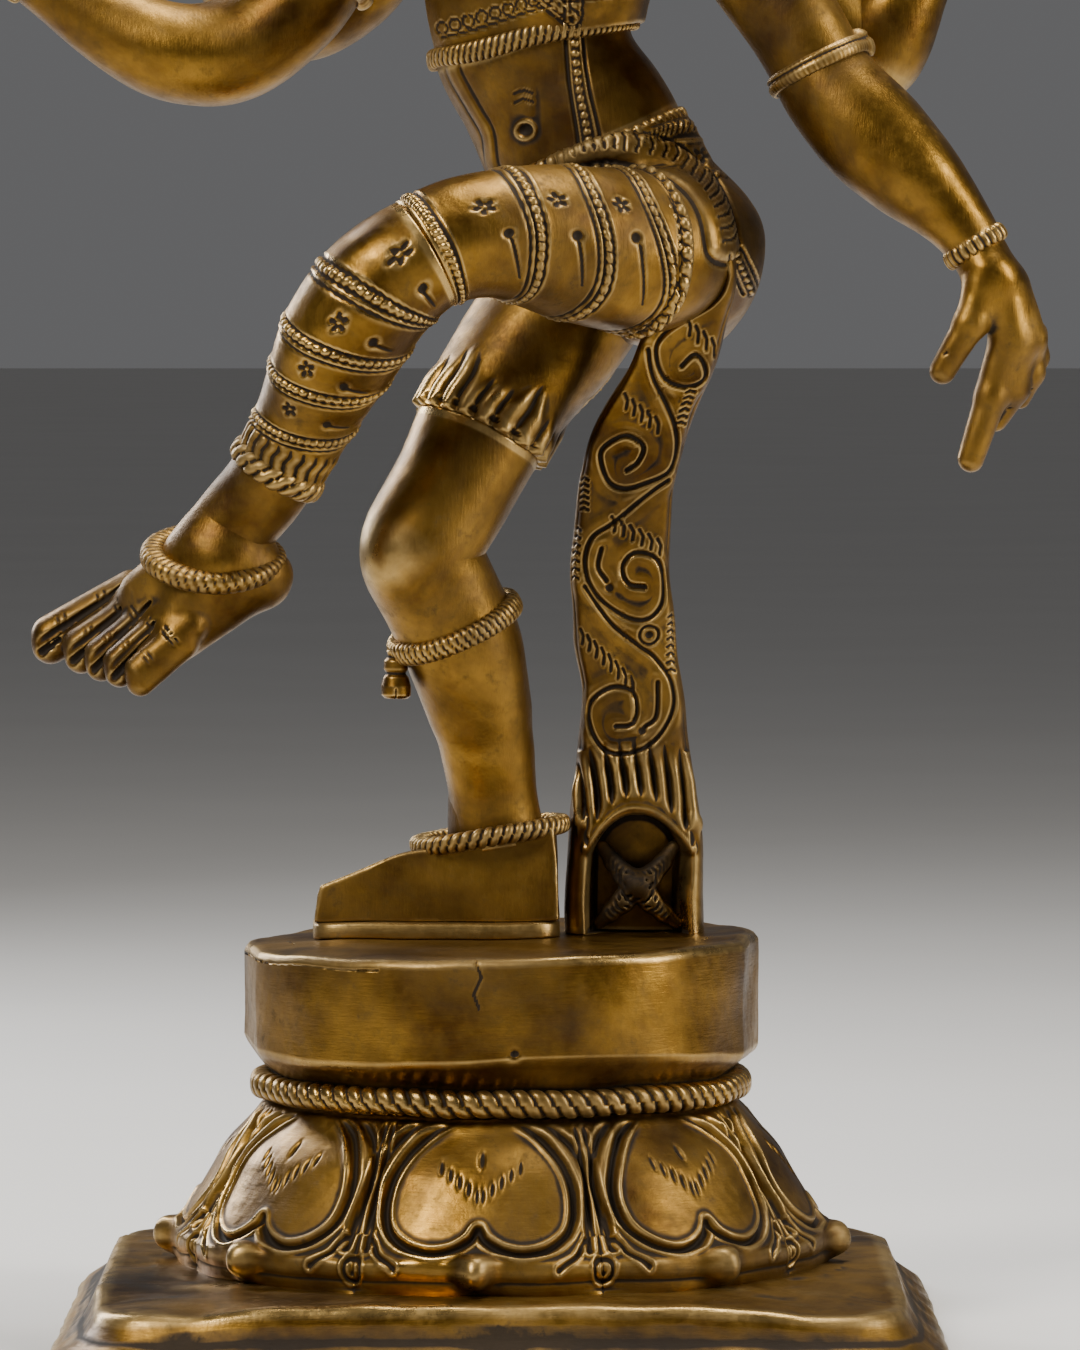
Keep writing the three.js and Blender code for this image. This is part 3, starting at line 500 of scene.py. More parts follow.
def brassFinish(name, slot, grain=(1.0, 1.0, 0.12), tone=1.0, dark=1.0):
    # aged brass: patina in the hollows, worn bright edges, mottled colour and brushed scratches; dark scales
    # the patina, and where it is set high it paints shade in as well
    look = brassLook
    f = Finish(name)
    shade = lambda colour: tuple(channel * tone for channel in colour)
    place = f.node("TexCoord", output=3)
    sunk = f.node("Attribute", {"attribute_name": "sunk"}, output=2)
    hollow = f.node("ValToRGB", {"stops": [(0.515, 0.0), (0.58, 0.4), (0.74, 1.0)]}, {"Fac": sunk})
    raised = f.node("ValToRGB", {"stops": [(0.12, 1.0), (0.40, 0.0)]}, {"Fac": sunk})
    broad = f.node("TexNoise", {}, {"Vector": place, "Scale": look["mottle"], "Detail": 5.0,
        "Roughness": 0.6})
    fine = f.node("TexNoise", {}, {"Vector": place, "Scale": look["mottle"] * 9, "Detail": 6.0,
        "Roughness": 0.65})
    stretched = f.node("Mapping", {}, {"Vector": place, "Scale": grain})
    scratch = f.node("TexNoise", {}, {"Vector": stretched, "Scale": look["scratch"] * 4, "Detail": 3.0,
        "Roughness": 0.7})
    blotch = f.node("ValToRGB", {"stops": [(0.36, 0.0), (0.62, 1.0)]}, {"Fac": broad})
    speck = f.node("ValToRGB", {"stops": [(0.55, 0.0), (0.70, 1.0)]}, {"Fac": fine})
    cloud = f.node("TexNoise", {}, {"Vector": place, "Scale": look["mottle"] * 0.55, "Detail": 6.0,
        "Roughness": 0.7, "Distortion": 0.6})
    stain = f.node("ValToRGB", {"stops": [(0.42, 0.0), (0.66, 1.0)]}, {"Fac": cloud})
    base = f.mixColour(blotch, shade(look["deepMetal"]), shade(look["metal"]))
    base = f.mixColour((fine - 0.35) * 0.5, base, shade(look["greenMetal"]))
    base = f.mixColour((raised * (0.2 + fine * 0.8)).clamped(), base, shade(look["worn"]))
    # patina in the hollows and stains, scaled by dark; where dark is high, as on the tassels, this mask is
    # painted shade
    patinaAndPaintedShade = ((hollow + speck * 0.3 * blotch + stain * 0.55) * dark).clamped()
    base = f.mixColour(patinaAndPaintedShade * 0.95, base, look["patina"])
    rough = (look["roughness"] + fine * 0.16
        + patinaAndPaintedShade * (look["patinaRoughness"] - look["roughness"]) - raised * 0.06)
    rough = rough + scratch * 0.10
    height = scratch * 0.35 + fine * 0.5 + broad * 0.5
    normal = f.node("Bump", {}, {"Height": height, "Strength": look["bump"], "Distance": 0.0006})
    metallic = 1.0 - patinaAndPaintedShade * 0.45
    shader = f.node("BsdfPrincipled", {}, {"Base Color": base, "Roughness": rough.clamped(),
        "Metallic": metallic, "Normal": normal})
    return f.close(shader), slot


pedestalBrass = brassFinish("pedestalBrass", "pedestal_brass", grain=(0.1, 0.1, 1.0), tone=0.92)
figureBrass = brassFinish("figureBrass", "figure_brass")
garmentBrass = brassFinish("garmentBrass", "garment_brass", tone=1.0, dark=1.15)
sashBrass = brassFinish("sashBrass", "sash_brass", tone=0.85, dark=1.1)
# painted shade: the tassels sit in the shadowed niche under the sash's arch, so tone 0.5 and dark 2.4 paint
# that shade into their colour
tasselBrassPaintedShade = brassFinish("tasselBrassPaintedShade", "sash_brass", tone=0.5, dark=2.4)
ornamentBrass = brassFinish("ornamentBrass", "ornament_brass", tone=1.12, dark=1.2)
print("materials ready")


# camera, floor and lights
view = {"distance": 3200.0, "side": 14.6, "eye": 399.0, "aim": 245.6, "frameHeight": 506.25, "sensor": 36.0}


def lookAt(thing, target):
    thing.rotation_euler = (Vector(target) - thing.location).to_track_quat("-Z", "Y").to_euler()


def makeCamera():
    data = bpy.data.cameras.new("camera")
    camera = bpy.data.objects.new("camera", data)
    bpy.context.scene.collection.objects.link(camera)
    camera.location = (view["side"] * mm, -view["distance"] * mm, view["eye"] * mm)
    lookAt(camera, (view["side"] * mm, 0, view["aim"] * mm))
    away = math.hypot(view["distance"], view["eye"] - view["aim"])
    data.sensor_width = view["sensor"]
    data.lens = view["sensor"] * away / view["frameHeight"]
    data.clip_end = 50
    bpy.context.scene.camera = camera


def softLight(name, place, size, power, colour=(1, 1, 1), target=(0, 0, 0.35)):
    data = bpy.data.lights.new(name, "AREA")
    data.shape, data.size, data.size_y = "RECTANGLE", size[0], size[1]
    data.energy, data.color = power, colour
    lamp = bpy.data.objects.new(name, data)
    bpy.context.scene.collection.objects.link(lamp)
    lamp.location = place
    lookAt(lamp, target)


def makeStage():
    f = Finish("paleFloor")
    place = f.node("TexCoord", output=3)
    cloud = f.node("TexNoise", {}, {"Vector": place, "Scale": 3.0, "Detail": 4.0})
    colour = f.mixColour(cloud, (0.60, 0.585, 0.56), (0.66, 0.645, 0.62))
    floorFinish = f.close(f.node("BsdfPrincipled", {}, {"Base Color": colour, "Roughness": 0.8}))
    half = 30.0
    mesh = bpy.data.meshes.new("floor")
    mesh.from_pydata([(-half, -half, 0), (half, -half, 0), (half, half, 0), (-half, half, 0)], [],
        [(0, 1, 2, 3)])
    mesh.materials.append(floorFinish)
    floor = bpy.data.objects.new("floor", mesh)
    bpy.context.scene.collection.objects.link(floor)
    world = bpy.data.worlds.new("studio")
    bpy.context.scene.world = world
    world.use_nodes = True
    back = world.node_tree.nodes["Background"]
    back.inputs["Color"].default_value = (0.42, 0.42, 0.43, 1)
    back.inputs["Strength"].default_value = 0.3
    softLight("keySoftbox", (-1.0, -1.2, 1.5), (0.4, 0.8), 40, (1, 0.96, 0.9))
    softLight("topSoftbox", (0.25, 0.15, 1.9), (0.9, 0.6), 40, (1, 0.98, 0.95))
    softLight("rightStrip", (1.4, -0.5, 0.8), (0.25, 1.1), 22, (1, 0.97, 0.93))
    softLight("backStrip", (-1.0, 1.2, 1.0), (0.3, 1.2), 26, (0.95, 0.97, 1))


makeCamera()
makeStage()
print("camera, floor and lights ready")


# seats of the joints
down, up = (0, 0, -1), (0, 0, 1)
seats = {
    "ankle": ringSeat("standing_anklet", up), "kneeBand": ringSeat("knee_band", up),
    "hem": ringSeat("cuff_ring", down), "ankleRaised": ringSeat("raised_anklet", down),
    "waist": ringSeat("hip_belt", up), "ribs": ringSeat("belly_band", up), "neck": ringSeat("necklace", up),
    "cuff": jointSeat("standing_knee", "standing_thigh", up),
    "hipRight": jointSeat("standing_thigh", "pelvis", (0.5, 0.2, 0.84)),
    "hipLeft": jointSeat("pelvis", "raised_thigh", (-0.8, -0.6, 0)),
    "kneeRaised": jointSeat("raised_thigh", "raised_shin", (-0.85, -0.18, -0.49)),
}
armNames = ("front_left", "rear_left", "front_right", "rear_right")
for arm in armNames:
    seats[arm + "_armlet"] = ringSeat(arm + "_armlet", down)
    seats[arm + "_wrist"] = ringSeat(arm + "_bracelet", down if arm == "front_left" else up)
    away = seats[arm + "_armlet"]["centre"] - vec(20, 20, 560)
    seats[arm + "_shoulder"] = jointSeat("chest", arm + "_upper_arm", (away[0], away[1], -60))
seats["raisedRing"] = {**seats["ankleRaised"], "centre": seats["ankleRaised"]["centre"] + vec(-5, 1, -9),
    "axis": unit(vec(-0.07, 0.45, -0.89)), "wide": unit(vec(0.995, 0.06, -0.05)), "a": 27.0, "b": 23.0}
seats["raisedRing"]["narrow"] = np.cross(seats["raisedRing"]["axis"], seats["raisedRing"]["wide"])
seats["ankle"]["a"] += 3.5
seats["ankle"]["b"] += 3.5
print("seats ready")
drumTop = boxOf("drum")[1][2]


def tilted(seat, axis):
    # the seat with a stated axis, where the facing walls give a rough one
    return {**seat, "axis": unit(vec(*axis))}


seats["hipLeft"] = tilted(seats["hipLeft"], (-0.8, -0.6, 0))
seats["kneeRaised"] = tilted(seats["kneeRaised"], (-0.85, -0.18, -0.49))
seats["cuff"] = tilted(seats["cuff"], (0.42, 0.22, 0.88))
seats["hipRight"] = tilted(seats["hipRight"], (0.5, 0.2, 0.84))


def towardViewer(place, reference):
    # arc distance from the line that faces -Y, growing toward the reference direction
    tangent = place["p"][-1].mean(0) - place["p"][0].mean(0)
    u = unit(vec(*reference) - unit(tangent) * (unit(tangent) @ vec(*reference)))
    w = np.cross(unit(tangent), u)
    turn = place["turn"] if w[1] < 0 else -place["turn"]
    return np.mod(math.pi / 2 - turn + math.pi, 2 * math.pi) - math.pi


# pedestal
def squareRing(half, level, columns, power=7.0, droop=0.0):
    turn = np.linspace(-math.pi, math.pi, columns, endpoint=False)
    c, s = np.cos(turn), np.sin(turn)
    radius = (np.abs(c) ** power + np.abs(s) ** power) ** (-1 / power)
    corner = np.clip((radius - 1.05) / 0.2, 0, 1)
    return np.stack([half * radius * c, half * radius * s, level - droop * corner ** 2 + 0 * turn], 1)


def profileSkin(profile, ring, step):
    line, _ = resample(np.array(profile, float), step)
    return np.stack([ring(half, level) for half, level in line])


plate = {"top": 149.0, "foot": 165.0, "height": 26.0, "hollow": 140.0, "mouth": 110.0, "droop": 4.0}


def makePlate():
    t, f, h = plate["top"], plate["foot"], plate["height"]
    profile = [(plate["hollow"] + 5, 0), (f - 1, 0), (f, 1.2), (f - 1.5, 4), (f - 7, 8), (f - 12, 13),
        (t + 1.4, 18), (t - 0.4, h - 3.5), (t - 1.6, h - 1), (t - 4, h), (plate["mouth"], h),
        (plate["mouth"], h - 9), (plate["hollow"], h - 10), (plate["hollow"], 0), (plate["hollow"] + 5, 0)]
    columns = 620
    grid = profileSkin(profile[:-1],
        lambda half, z: squareRing(half, z, columns, 2 + 9 * smoothStep((half - 111) / 30),
            plate["droop"] * min(1, max(0, (z - 8) / 18)) * min(1, max(0, (half - 108) / 36))), 2.2)
    normal = surfaceNormals(grid)
    turn = np.arctan2(grid[..., 1], grid[..., 0])
    wave = 0.3 * np.sin(turn * 9) * np.sin(turn * 23 + 1) * (grid[..., 2] > 3)
    grid = grid + normal * wave[..., None] * (np.hypot(grid[..., 0], grid[..., 1]) > 130)[..., None]
    rows = len(grid)
    makePiece("basePlate", grid.reshape(-1, 3), gridFaces(rows, columns, True), "base_plate", pedestalBrass,
        10, 0.6)


lotus = {"outline": [(0, 86), (3, 90.5), (14, 97.5), (26, 104), (38, 111), (48, 116.5), (55, 121),
    (64, 120.5)], "petals": 8, "first": -94.0, "nubOut": 12.0, "nubDown": 58.0}


def petalRelief(s, t, edge):
    # s runs across a petal from its middle, t down from its shoulder, edge is the petal's half width there
    side = np.abs(s)
    bulge = 4.2 * np.sqrt(np.clip(1 - (s / edge) ** 2, 0, 1)) * smoothStep((t - 1) / 22)
    heart = smoothThrough([(12, -4), (22, 5), (30, 17), (34, 30), (33, 42), (26, 49.5), (17, 52.5), (9, 51),
        (3, 47), (0, 42.5)], 46)
    height = cutRoute(side, t, heart, 1.35, 2.6, 0.4)
    gap = edge - side
    nested = smoothThrough([(22.5, -4), (32.76, 8), (38.4, 20), (39.6, 33), (41.1, 50)], 26)
    height += cutRoute(side, t, nested, 1.25, 2.3, 0.35)
    height += cutLine(np.abs(gap - 1.6), 0.8, 1.5, 0.3) * (t < 44)
    height += cutRoute(side, t, smoothThrough([(39, 46), (36, 53), (30, 58)], 12), 0.9, 1.6, 0.3)
    height += (cutLine(np.abs(np.hypot(gap, (t - 58) * 0.8) - 3.4), 0.7, 1.3, 0.4) * (t > 52)
        - 1.0 * ridge(np.hypot(gap, t - 59), 0.9))
    for k in range(5):
        height -= 1.3 * np.exp(-((side - 3.3 * (k + 0.3)) / 0.7) ** 2 - ((t - 29 + 2.9 * k) / 2.4) ** 2)
    height -= 1.8 * np.exp(-(s / 1.1) ** 2 - ((t - 14) / 3.2) ** 2)
    return height + bulge


def makeLotus():
    columns, high = 1500, boxOf("lotus_bell")[1][2]
    outside = smoothThrough([(radius, high - drop) for drop, radius in lotus["outline"]], 120)
    line, along = resample(np.vstack([[80, high - 0.5], outside]), 0.65)
    down = along - along[np.argmax(line[:, 1] < high - 3)]
    turn = np.linspace(math.pi, -math.pi, columns, endpoint=False)
    grid = np.stack([line[:, :1] * np.sin(turn), -line[:, :1] * np.cos(turn), line[:, 1:] + 0 * turn], 2)
    pitch = 2 * math.pi / lotus["petals"]
    offset = np.mod(turn - math.radians(lotus["first"]) + pitch / 2, pitch) - pitch / 2
    s = offset[None] * line[:, :1]
    t = down[:, None] + 0 * s
    edge = pitch / 2 * line[:, :1] + 0 * s
    height = petalRelief(s, t, edge)
    fade = np.clip((t + 2) / 5, 0, 1) * np.clip((along[-1] - along[:, None]) / 4, 0, 1)
    nub = np.exp(-((s / (6.4 + 0.25 * np.clip(lotus["nubDown"] - t, 0, 9))) ** 2
        + ((t - lotus["nubDown"]) / 5.2) ** 2) ** 1.15)
    skirt = np.clip((t - lotus["nubDown"] + 1) / 5, 0, 1)
    height = (height * fade - 3.0 * skirt * fade) * (1 - nub) + lotus["nubOut"] * nub
    normal = surfaceNormals(grid)
    grid = grid + normal * height[..., None]
    grid[..., 2] -= 2.5 * nub
    inner = [grid[-1] * vec(0.93, 0.93, 1), np.stack([86 * np.sin(turn), -86 * np.cos(turn),
        high - 9 + 0 * turn], 1), np.stack([60 * np.sin(turn), -60 * np.cos(turn), high - 7 + 0 * turn], 1),
        np.stack([60 * np.sin(turn), -60 * np.cos(turn), high - 1 + 0 * turn], 1)]
    grid = np.concatenate([grid, np.stack(inner)])
    makePiece("lotusBell", grid.reshape(-1, 3), gridFaces(len(grid), columns, True), "lotus_bell",
        pedestalBrass, 14, 0.5)


def makeRopeRing():
    low, high = boxOf("rope_ring")
    seat = {"centre": (low + high) / 2, "axis": vec(0, 0, 1), "wide": vec(1, 0, 0), "narrow": vec(0, 1, 0)}
    half = (high[0] - low[0]) / 2 - 5.0
    points, faces = skinRing(seat, half, half, 5.2, 5.0, roped(88, 1.8), 0.7)
    makePiece("ropeRing", points, faces, "rope_ring", pedestalBrass, 8, 0.45)


drumLook = {"radius": 97.0, "slope": 2.2}


def makeDrum():
    low, high = boxOf("drum")
    r, columns = drumLook["radius"], 900
    profile = [(0.5, high[2]), (r - 4, high[2]), (r - 1.4, high[2] - 0.6), (r, high[2] - 2.6),
        (r, low[2] + 21), (r - 0.6, low[2] + 19.5), (r - 1.6, low[2] + 18), (r - 9, low[2] + 10.5),
        (r - 10, low[2] + 9), (r - 10.5, low[2] + 1), (r - 12, low[2]), (r - 16, low[2]),
        (r - 16, high[2] - 12), (0.5, high[2] - 12)]
    line, _ = resample(np.array(profile, float), 1.0)
    turn = np.linspace(math.pi, -math.pi, columns, endpoint=False)
    radius = np.repeat(line[:, :1], columns, 1)
    side = np.minimum(np.abs(turn - math.radians(80)), np.abs(turn + math.radians(80)))
    chord = np.where(side < 0.2, math.cos(0.2) / np.cos(np.minimum(side, 0.2)), 1.0)
    radius = np.where(radius > 80, radius * chord + 0.5 * np.sin(turn * 7) * np.sin(turn * 3 + 2), radius)
    level = np.repeat(line[:, 1:], columns, 1)
    x, y = radius * np.sin(turn), -radius * np.cos(turn)
    level = level + 2.2 * np.sin(turn * 3 + 0.6) * ridge(level - low[2] - 20, 5) * (radius > 88)
    level = level + (drumLook["slope"] * (x / r) * np.clip((np.hypot(x, y) - 62) / 30, 0, 1)
        * (level > high[2] - 5))
    pit = np.hypot(x - 5, level - (low[2] + 24)) + (y > 0) * 99
    dent = 1.4 * np.exp(-(pit / 1.8) ** 2)
    crack = lineDistance(x, level, [(-9, high[2] - 1), (-7, high[2] - 7), (-10, high[2] - 13),
        (-8, high[2] - 18)]) + (y > 0) * 99
    dent = dent + 0.6 * ridge(crack, 0.5)
    scale = 1 - dent / np.maximum(radius, 1)
    grid = np.stack([x * scale, y * scale, level], 2)
    makePiece("drumBody", grid.reshape(-1, 3), gridFaces(len(grid), columns, True), "drum", pedestalBrass,
        10, 0.5)


slab = {"power": 5.0, "rim": [(-0.2, 0.0), (0, 0.12), (0, 0.8), (-0.5, 0.95), (-1.2, 1.0)]}


def makeSlab():
    low, high = boxOf("foot_slab")
    half, middle = (high - low) / 2, (low + high) / 2
    turn = np.linspace(-math.pi, math.pi, 260, endpoint=False)
    across, along = squared(np.cos(turn), slab["power"]), squared(np.sin(turn), slab["power"])
    grid = np.stack([np.stack([middle[0] + (half[0] + grow) * across, middle[1] + (half[1] + grow) * along,
        low[2] + (high[2] - low[2]) * share + 0 * turn], 1) for grow, share in slab["rim"]])
    points, faces = closedSkin(grid)
    makePiece("footSlab", points, faces, "foot_slab", pedestalBrass, 4, 0.5)


makePlate()
makeLotus()
makeRopeRing()
makeDrum()
makeSlab()
print("pedestal ready")


# hanging sash
sashLook = {
    "levels": [0, 6, 40, 56, 78, 95, 111, 136, 170, 188, 203, 221, 240, 252, 262],
    "left": [24, 24, 25.4, 27, 29.5, 30.3, 27, 25.8, 28.8, 33, 41, 50.4, 59.4, 63, 68],
    "right": [76.3, 76.3, 76, 73, 69.5, 68, 66, 62.8, 64.3, 69, 75, 81.5, 86.5, 87, 86.3],
    "middle": [24, 24, 22, 19, 14, 11, 8, 1.8, -6, -14, -23, -36, -45, -47, -46],
    "depth": [17, 17, 16, 13, 9, 8.4, 8, 7.6, 7.5, 7.5, 7.5, 7.5, 6.8, 6.4, 6],
    "cut": 0.62, "cutDepth": 1.15,
}
vine = [
    [(75, 409), (82, 399), (82, 392), (78, 385), (71, 380), (62, 374), (58, 368), (60, 358), (68, 354),
    (75, 357), (75, 363), (72, 366), (67, 362)],
    [(71, 398), (68, 394), (71, 390), (78, 391), (81, 396)],
    [(55, 368), (56, 358), (62, 346), (65, 338), (65, 329), (62, 322), (54, 318), (46, 316), (40, 319),
        (37, 328), (40, 333), (47, 336), (53, 332), (51, 326), (47, 323)],
    [(62, 319), (54, 313), (42, 303), (34, 297), (32, 287), (36, 276), (46, 268), (54, 267), (60, 273),
        (61, 284), (57, 290), (50, 291), (46, 286), (48, 280), (54, 279)],
    [(38, 293), (37, 286), (40, 281)],
    [(32, 279), (41, 265), (51, 257), (58, 252), (64, 243), (64, 232), (58, 221), (49, 216), (39, 217),
        (33, 226), (33, 235), (41, 241), (49, 240), (51, 233), (49, 227), (43, 226)],
    [(59, 243), (58, 230), (54, 226)],
]
leafStrokes = [((47, 349), (59, 340), 5), ((43, 303), (60, 294), 6), ((31, 260), (50, 243), 8),
    ((71, 376), (80, 369), 4)]
combs = [((31, 319), (31, 308), 6), ((60, 389), (56, 378), 5), ((70, 352), (67, 340), 6),
    ((64, 268), (64, 247), 8), ((28, 300), (28, 282), 7)]


def sashRelief(x, z, front, left, right):
    height = np.zeros(x.shape)
    for route in vine:
        smooth = smoothThrough(route, len(route) * 5)
        away = lineDistance(x, z, smooth)
        height += cutLine(away, sashLook["cut"], sashLook["cutDepth"], 0.22) + 0.55 * ridge(away - 3.2, 2.2)
    for (ax, az), (bx, bz), count in leafStrokes:
        for k in range(count):
            cx, cz = ax + (bx - ax) * k / (count - 1), az + (bz - az) * k / (count - 1)
            height += cutRoute(x, z, [(cx - 1.5, cz + 2.6), (cx - 0.2, cz), (cx - 0.6, cz - 3.2)], 0.5, 0.7,
                0.3)
    for (ax, az), (bx, bz), count in combs:
        for k in range(count):
            cx, cz = ax + (bx - ax) * k / (count - 1), az + (bz - az) * k / (count - 1)
            height += cutRoute(x, z, [(cx - 1.6, cz), (cx, cz + 0.8), (cx + 1.6, cz)], 0.45, 0.7, 0.3)
    height += (cutLine(np.abs(np.hypot(x - 55.3, z - 260.8) - 3.6), 0.5, 0.9, 0.3)
        + dotMark(x - 55.3, z - 260.8, 1.2, 0.8))
    height += dotMark(x - 41, z - 278.5, 1.3, 1.0) + dotMark(x - 53, z - 224.5, 1.3, 1.0)
    share = (x - left) / (right - left)
    border = np.minimum(x - left, right - x)
    height -= 0.9 * ridge(border, 2.0) * (z > drumTop + 70)
    hem = drumTop + 58 + 8 * np.cos((share - 0.5) * 2.4)
    fan = (0.5 + (share - 0.5) * (1 + 0.25 * np.clip((hem + 8 - z) / 30, 0, 1))
        + 0.03 * np.sin((z - hem) * 0.11))
    flute = np.abs(np.sin(fan * math.pi * 7.5))
    middle, half = (left + right) / 2 + 1, 19.0
    arch = drumTop + 46 - 15 * np.clip(np.abs(x - middle) / half, 0, 1) ** 2.2
    lip = np.where(np.abs(x - middle) < half, arch + 5, drumTop + 42)
    grow = np.clip((hem + 9 - z) / 12, 0, 1) * smoothStep((z - lip) / 7)
    height += (grow * (4.4 * flute ** 0.7 - 3.2)
        + 1.6 * ridge(z - lip - 1, 4) * (np.abs(x - middle) < half + 4))
    within = np.clip((half + 1.2 - np.abs(x - middle)) / 1.6, 0, 1) * np.clip((arch - z) / 1.6, 0, 1)
    height += 1.4 * ridge(np.maximum(arch + 2.2 - z, -9) * (np.abs(x - middle) < half + 2)
        + 9 * (np.abs(x - middle) >= half + 2), 1.8)
    height = height * (1 - within) - 19 * within
    return height * front


def makeSash():
    step = 0.62
    count = int(262 / step)
    level = np.linspace(0, 262, count)
    value = lambda key: np.interp(level, np.linspace(0, 262, 200),
        np.convolve(np.pad(np.interp(np.linspace(0, 262, 200), sashLook["levels"], sashLook[key]), 8,
        "edge"), np.hanning(17) / np.hanning(17).sum(), "valid"))
    left, right, middle, depth = (value(key)[:, None] for key in ("left", "right", "middle", "depth"))
    columns, power = 230, 5.0
    turn = np.interp(np.linspace(0, 1, columns, endpoint=False), *evenTurn(power, 24 / 9))[None]
    x = (left + right) / 2 + (right - left) / 2 * squared(np.cos(turn), power)
    y = middle + depth * squared(np.sin(turn), power)
    z = drumTop + 0.3 + level[:, None] + 0 * x
    grid = np.stack([x, y, z], 2)
    normal = surfaceNormals(grid)
    front = np.clip(-normal[..., 1] * 2.5, 0, 1)
    back = np.clip(normal[..., 1] * 2.5, 0, 1)
    height = sashRelief(x, z, front, left, right)
    height += back * (cutLine(np.abs(x - (left + right) / 2), 0.8, 1.0)
        + cutLine(np.abs(np.minimum(x - left, right - x) - 4), 0.6, 0.8))
    grid = grid + normal * height[..., None]
    points, faces = closedSkin(grid)
    makePiece("sashStrip", points, faces, "sash", sashBrass, 12, 0.4)
    low, high = boxOf("sash_tassels")
    strands = []
    centre = vec((low[0] + high[0]) / 2, low[1] + 2, drumTop + 19)
    for side in (-1, 1):
        for rise, out in ((14, 13.5), (-15, 14.5)):
            route = [centre + vec(side * out * share, 2.5 * share,
                rise * share ** (1.6 if rise > 0 else 0.8)) for share in (0.0, 0.35, 0.7, 1.0)]
            for k, (a, b) in enumerate(zip(route[:-1], route[1:])):
                strands += [add(a, b, 5.2 - 0.9 * k, 4.3 - 0.9 * k, 1.2)]
            for k in range(9):
                share = (k + 0.6) / 9
                spot = centre + vec(side * out * share, 2.5 * share - 3.6,
                    rise * share ** (1.6 if rise > 0 else 0.8))
                across = unit(vec(-rise * 0.5, 0, side * out + rise * 0.5 * side))
                strands += [cut(spot + across * 5 - vec(side * 1.6, 0, 0), spot - across * 0.4, 0.75, 0.5,
                    0.4), cut(spot - across * 5 - vec(side * 1.6, 0, 0), spot + across * 0.4, 0.75, 0.5, 0.4)]
    points, faces = sculpt(strands, 0.6)
    makePiece("sashTassels", points, faces, "sash_tassels", tasselBrassPaintedShade, 8, 0.4)


def evenTurn(power, ratio):
    # turns of a squared oval that are spread evenly along its outline
    turn = np.linspace(-math.pi, math.pi, 4001)
    x, y = ratio * squared(np.cos(turn), power), squared(np.sin(turn), power)
    length = np.concatenate([[0], np.cumsum(np.hypot(np.diff(x), np.diff(y)))])
    return length / length[-1], turn


makeSash()
print("sash ready")


# legs
def makeStandingLeg():
    points, faces = skinLimb(limbPath({**seats["ankle"],
        "centre": seats["ankle"]["centre"] + vec(4, 0, -4)}, seats["kneeBand"]),
        [17.5, 16.5, 17.5, 19.5, 21.5, 22.5], (-0.8, 0.6, 0), 0.9,
        relief=lambda p: -0.5 * ridge(p["s"] - p["length"] * 0.5, 6)
        + 0.8 * ridge(towardViewer(p, (1, 0, 0)) - 0.9, 0.5))
    makePiece("standingShin", points, faces, "standing_shin", figureBrass, 10, 0.5)
    points, faces = skinLimb(limbPath(seats["kneeBand"], seats["cuff"], (0.66, 0.9)),
        [22.5, 22.5, 23, 23, 23.5, 24.5], (-0.8, 0.6, 0), 0.9)
    makePiece("standingKnee", points, faces, "standing_knee", figureBrass, 10, 0.5)

    def thighRelief(p):
        c = towardViewer(p, (1, 0, 0)) * p["r"]
        lobe = np.abs(np.cos(p["turn"] * 9.5 + 0.5 * np.sin(p["turn"] * 3 + 1)
            + 0.18 * np.sin(p["s"] * 0.35)))
        length = 19 + 3.5 * np.sin(p["turn"] * 5) + 2 * np.sin(p["turn"] * 11 + 2)
        grow = smoothStep((length - p["s"]) / 9)
        height = grow * (3.0 * lobe ** 0.7 - 1.6) - 2.0 * (p["s"] < 4.0 * (1 - lobe ** 2))
        for k, (spot, middle, length) in enumerate([(-20, 42, 10), (-14, 44, 14), (-8, 40, 12),
                (-1, 46, 13), (6, 42, 14), (13, 44, 10)]):
            wiggle = c - spot - 1.8 * np.sin(p["s"] * 0.5 + 2 * k)
            height += np.clip(1.3 - np.abs(p["s"] - middle) / length, 0, 1) * cutLine(np.abs(wiggle), 0.9,
                1.5, 0.5)
        return height

    points, faces = skinLimb(limbPath(seats["cuff"], seats["hipRight"]), [26.5, 27, 29, 29.5],
        (-0.8, 0.6, 0), 0.8, relief=thighRelief)
    makePiece("standingThigh", points, faces, "standing_thigh", garmentBrass, 10, 0.4)


bandLook = {"half": 1.9, "bead": 1.0, "rim": 0.6, "beads": 44}


def garmentBand(s, turn):
    # a row of small beads between two ridges
    height = beadRow(s, turn, bandLook["beads"], bandLook["half"] * 1.7, bandLook["bead"])
    height += bandLook["rim"] * (ridge(s - bandLook["half"] - 0.9, 0.55)
        + 0.5 * ridge(s + bandLook["half"] + 0.9, 0.5))
    return (height - 1.1 * (ridge(np.abs(s) - bandLook["half"] + 0.1, 0.45))
        - 0.8 * ridge(s - bandLook["half"] - 2.1, 0.5))


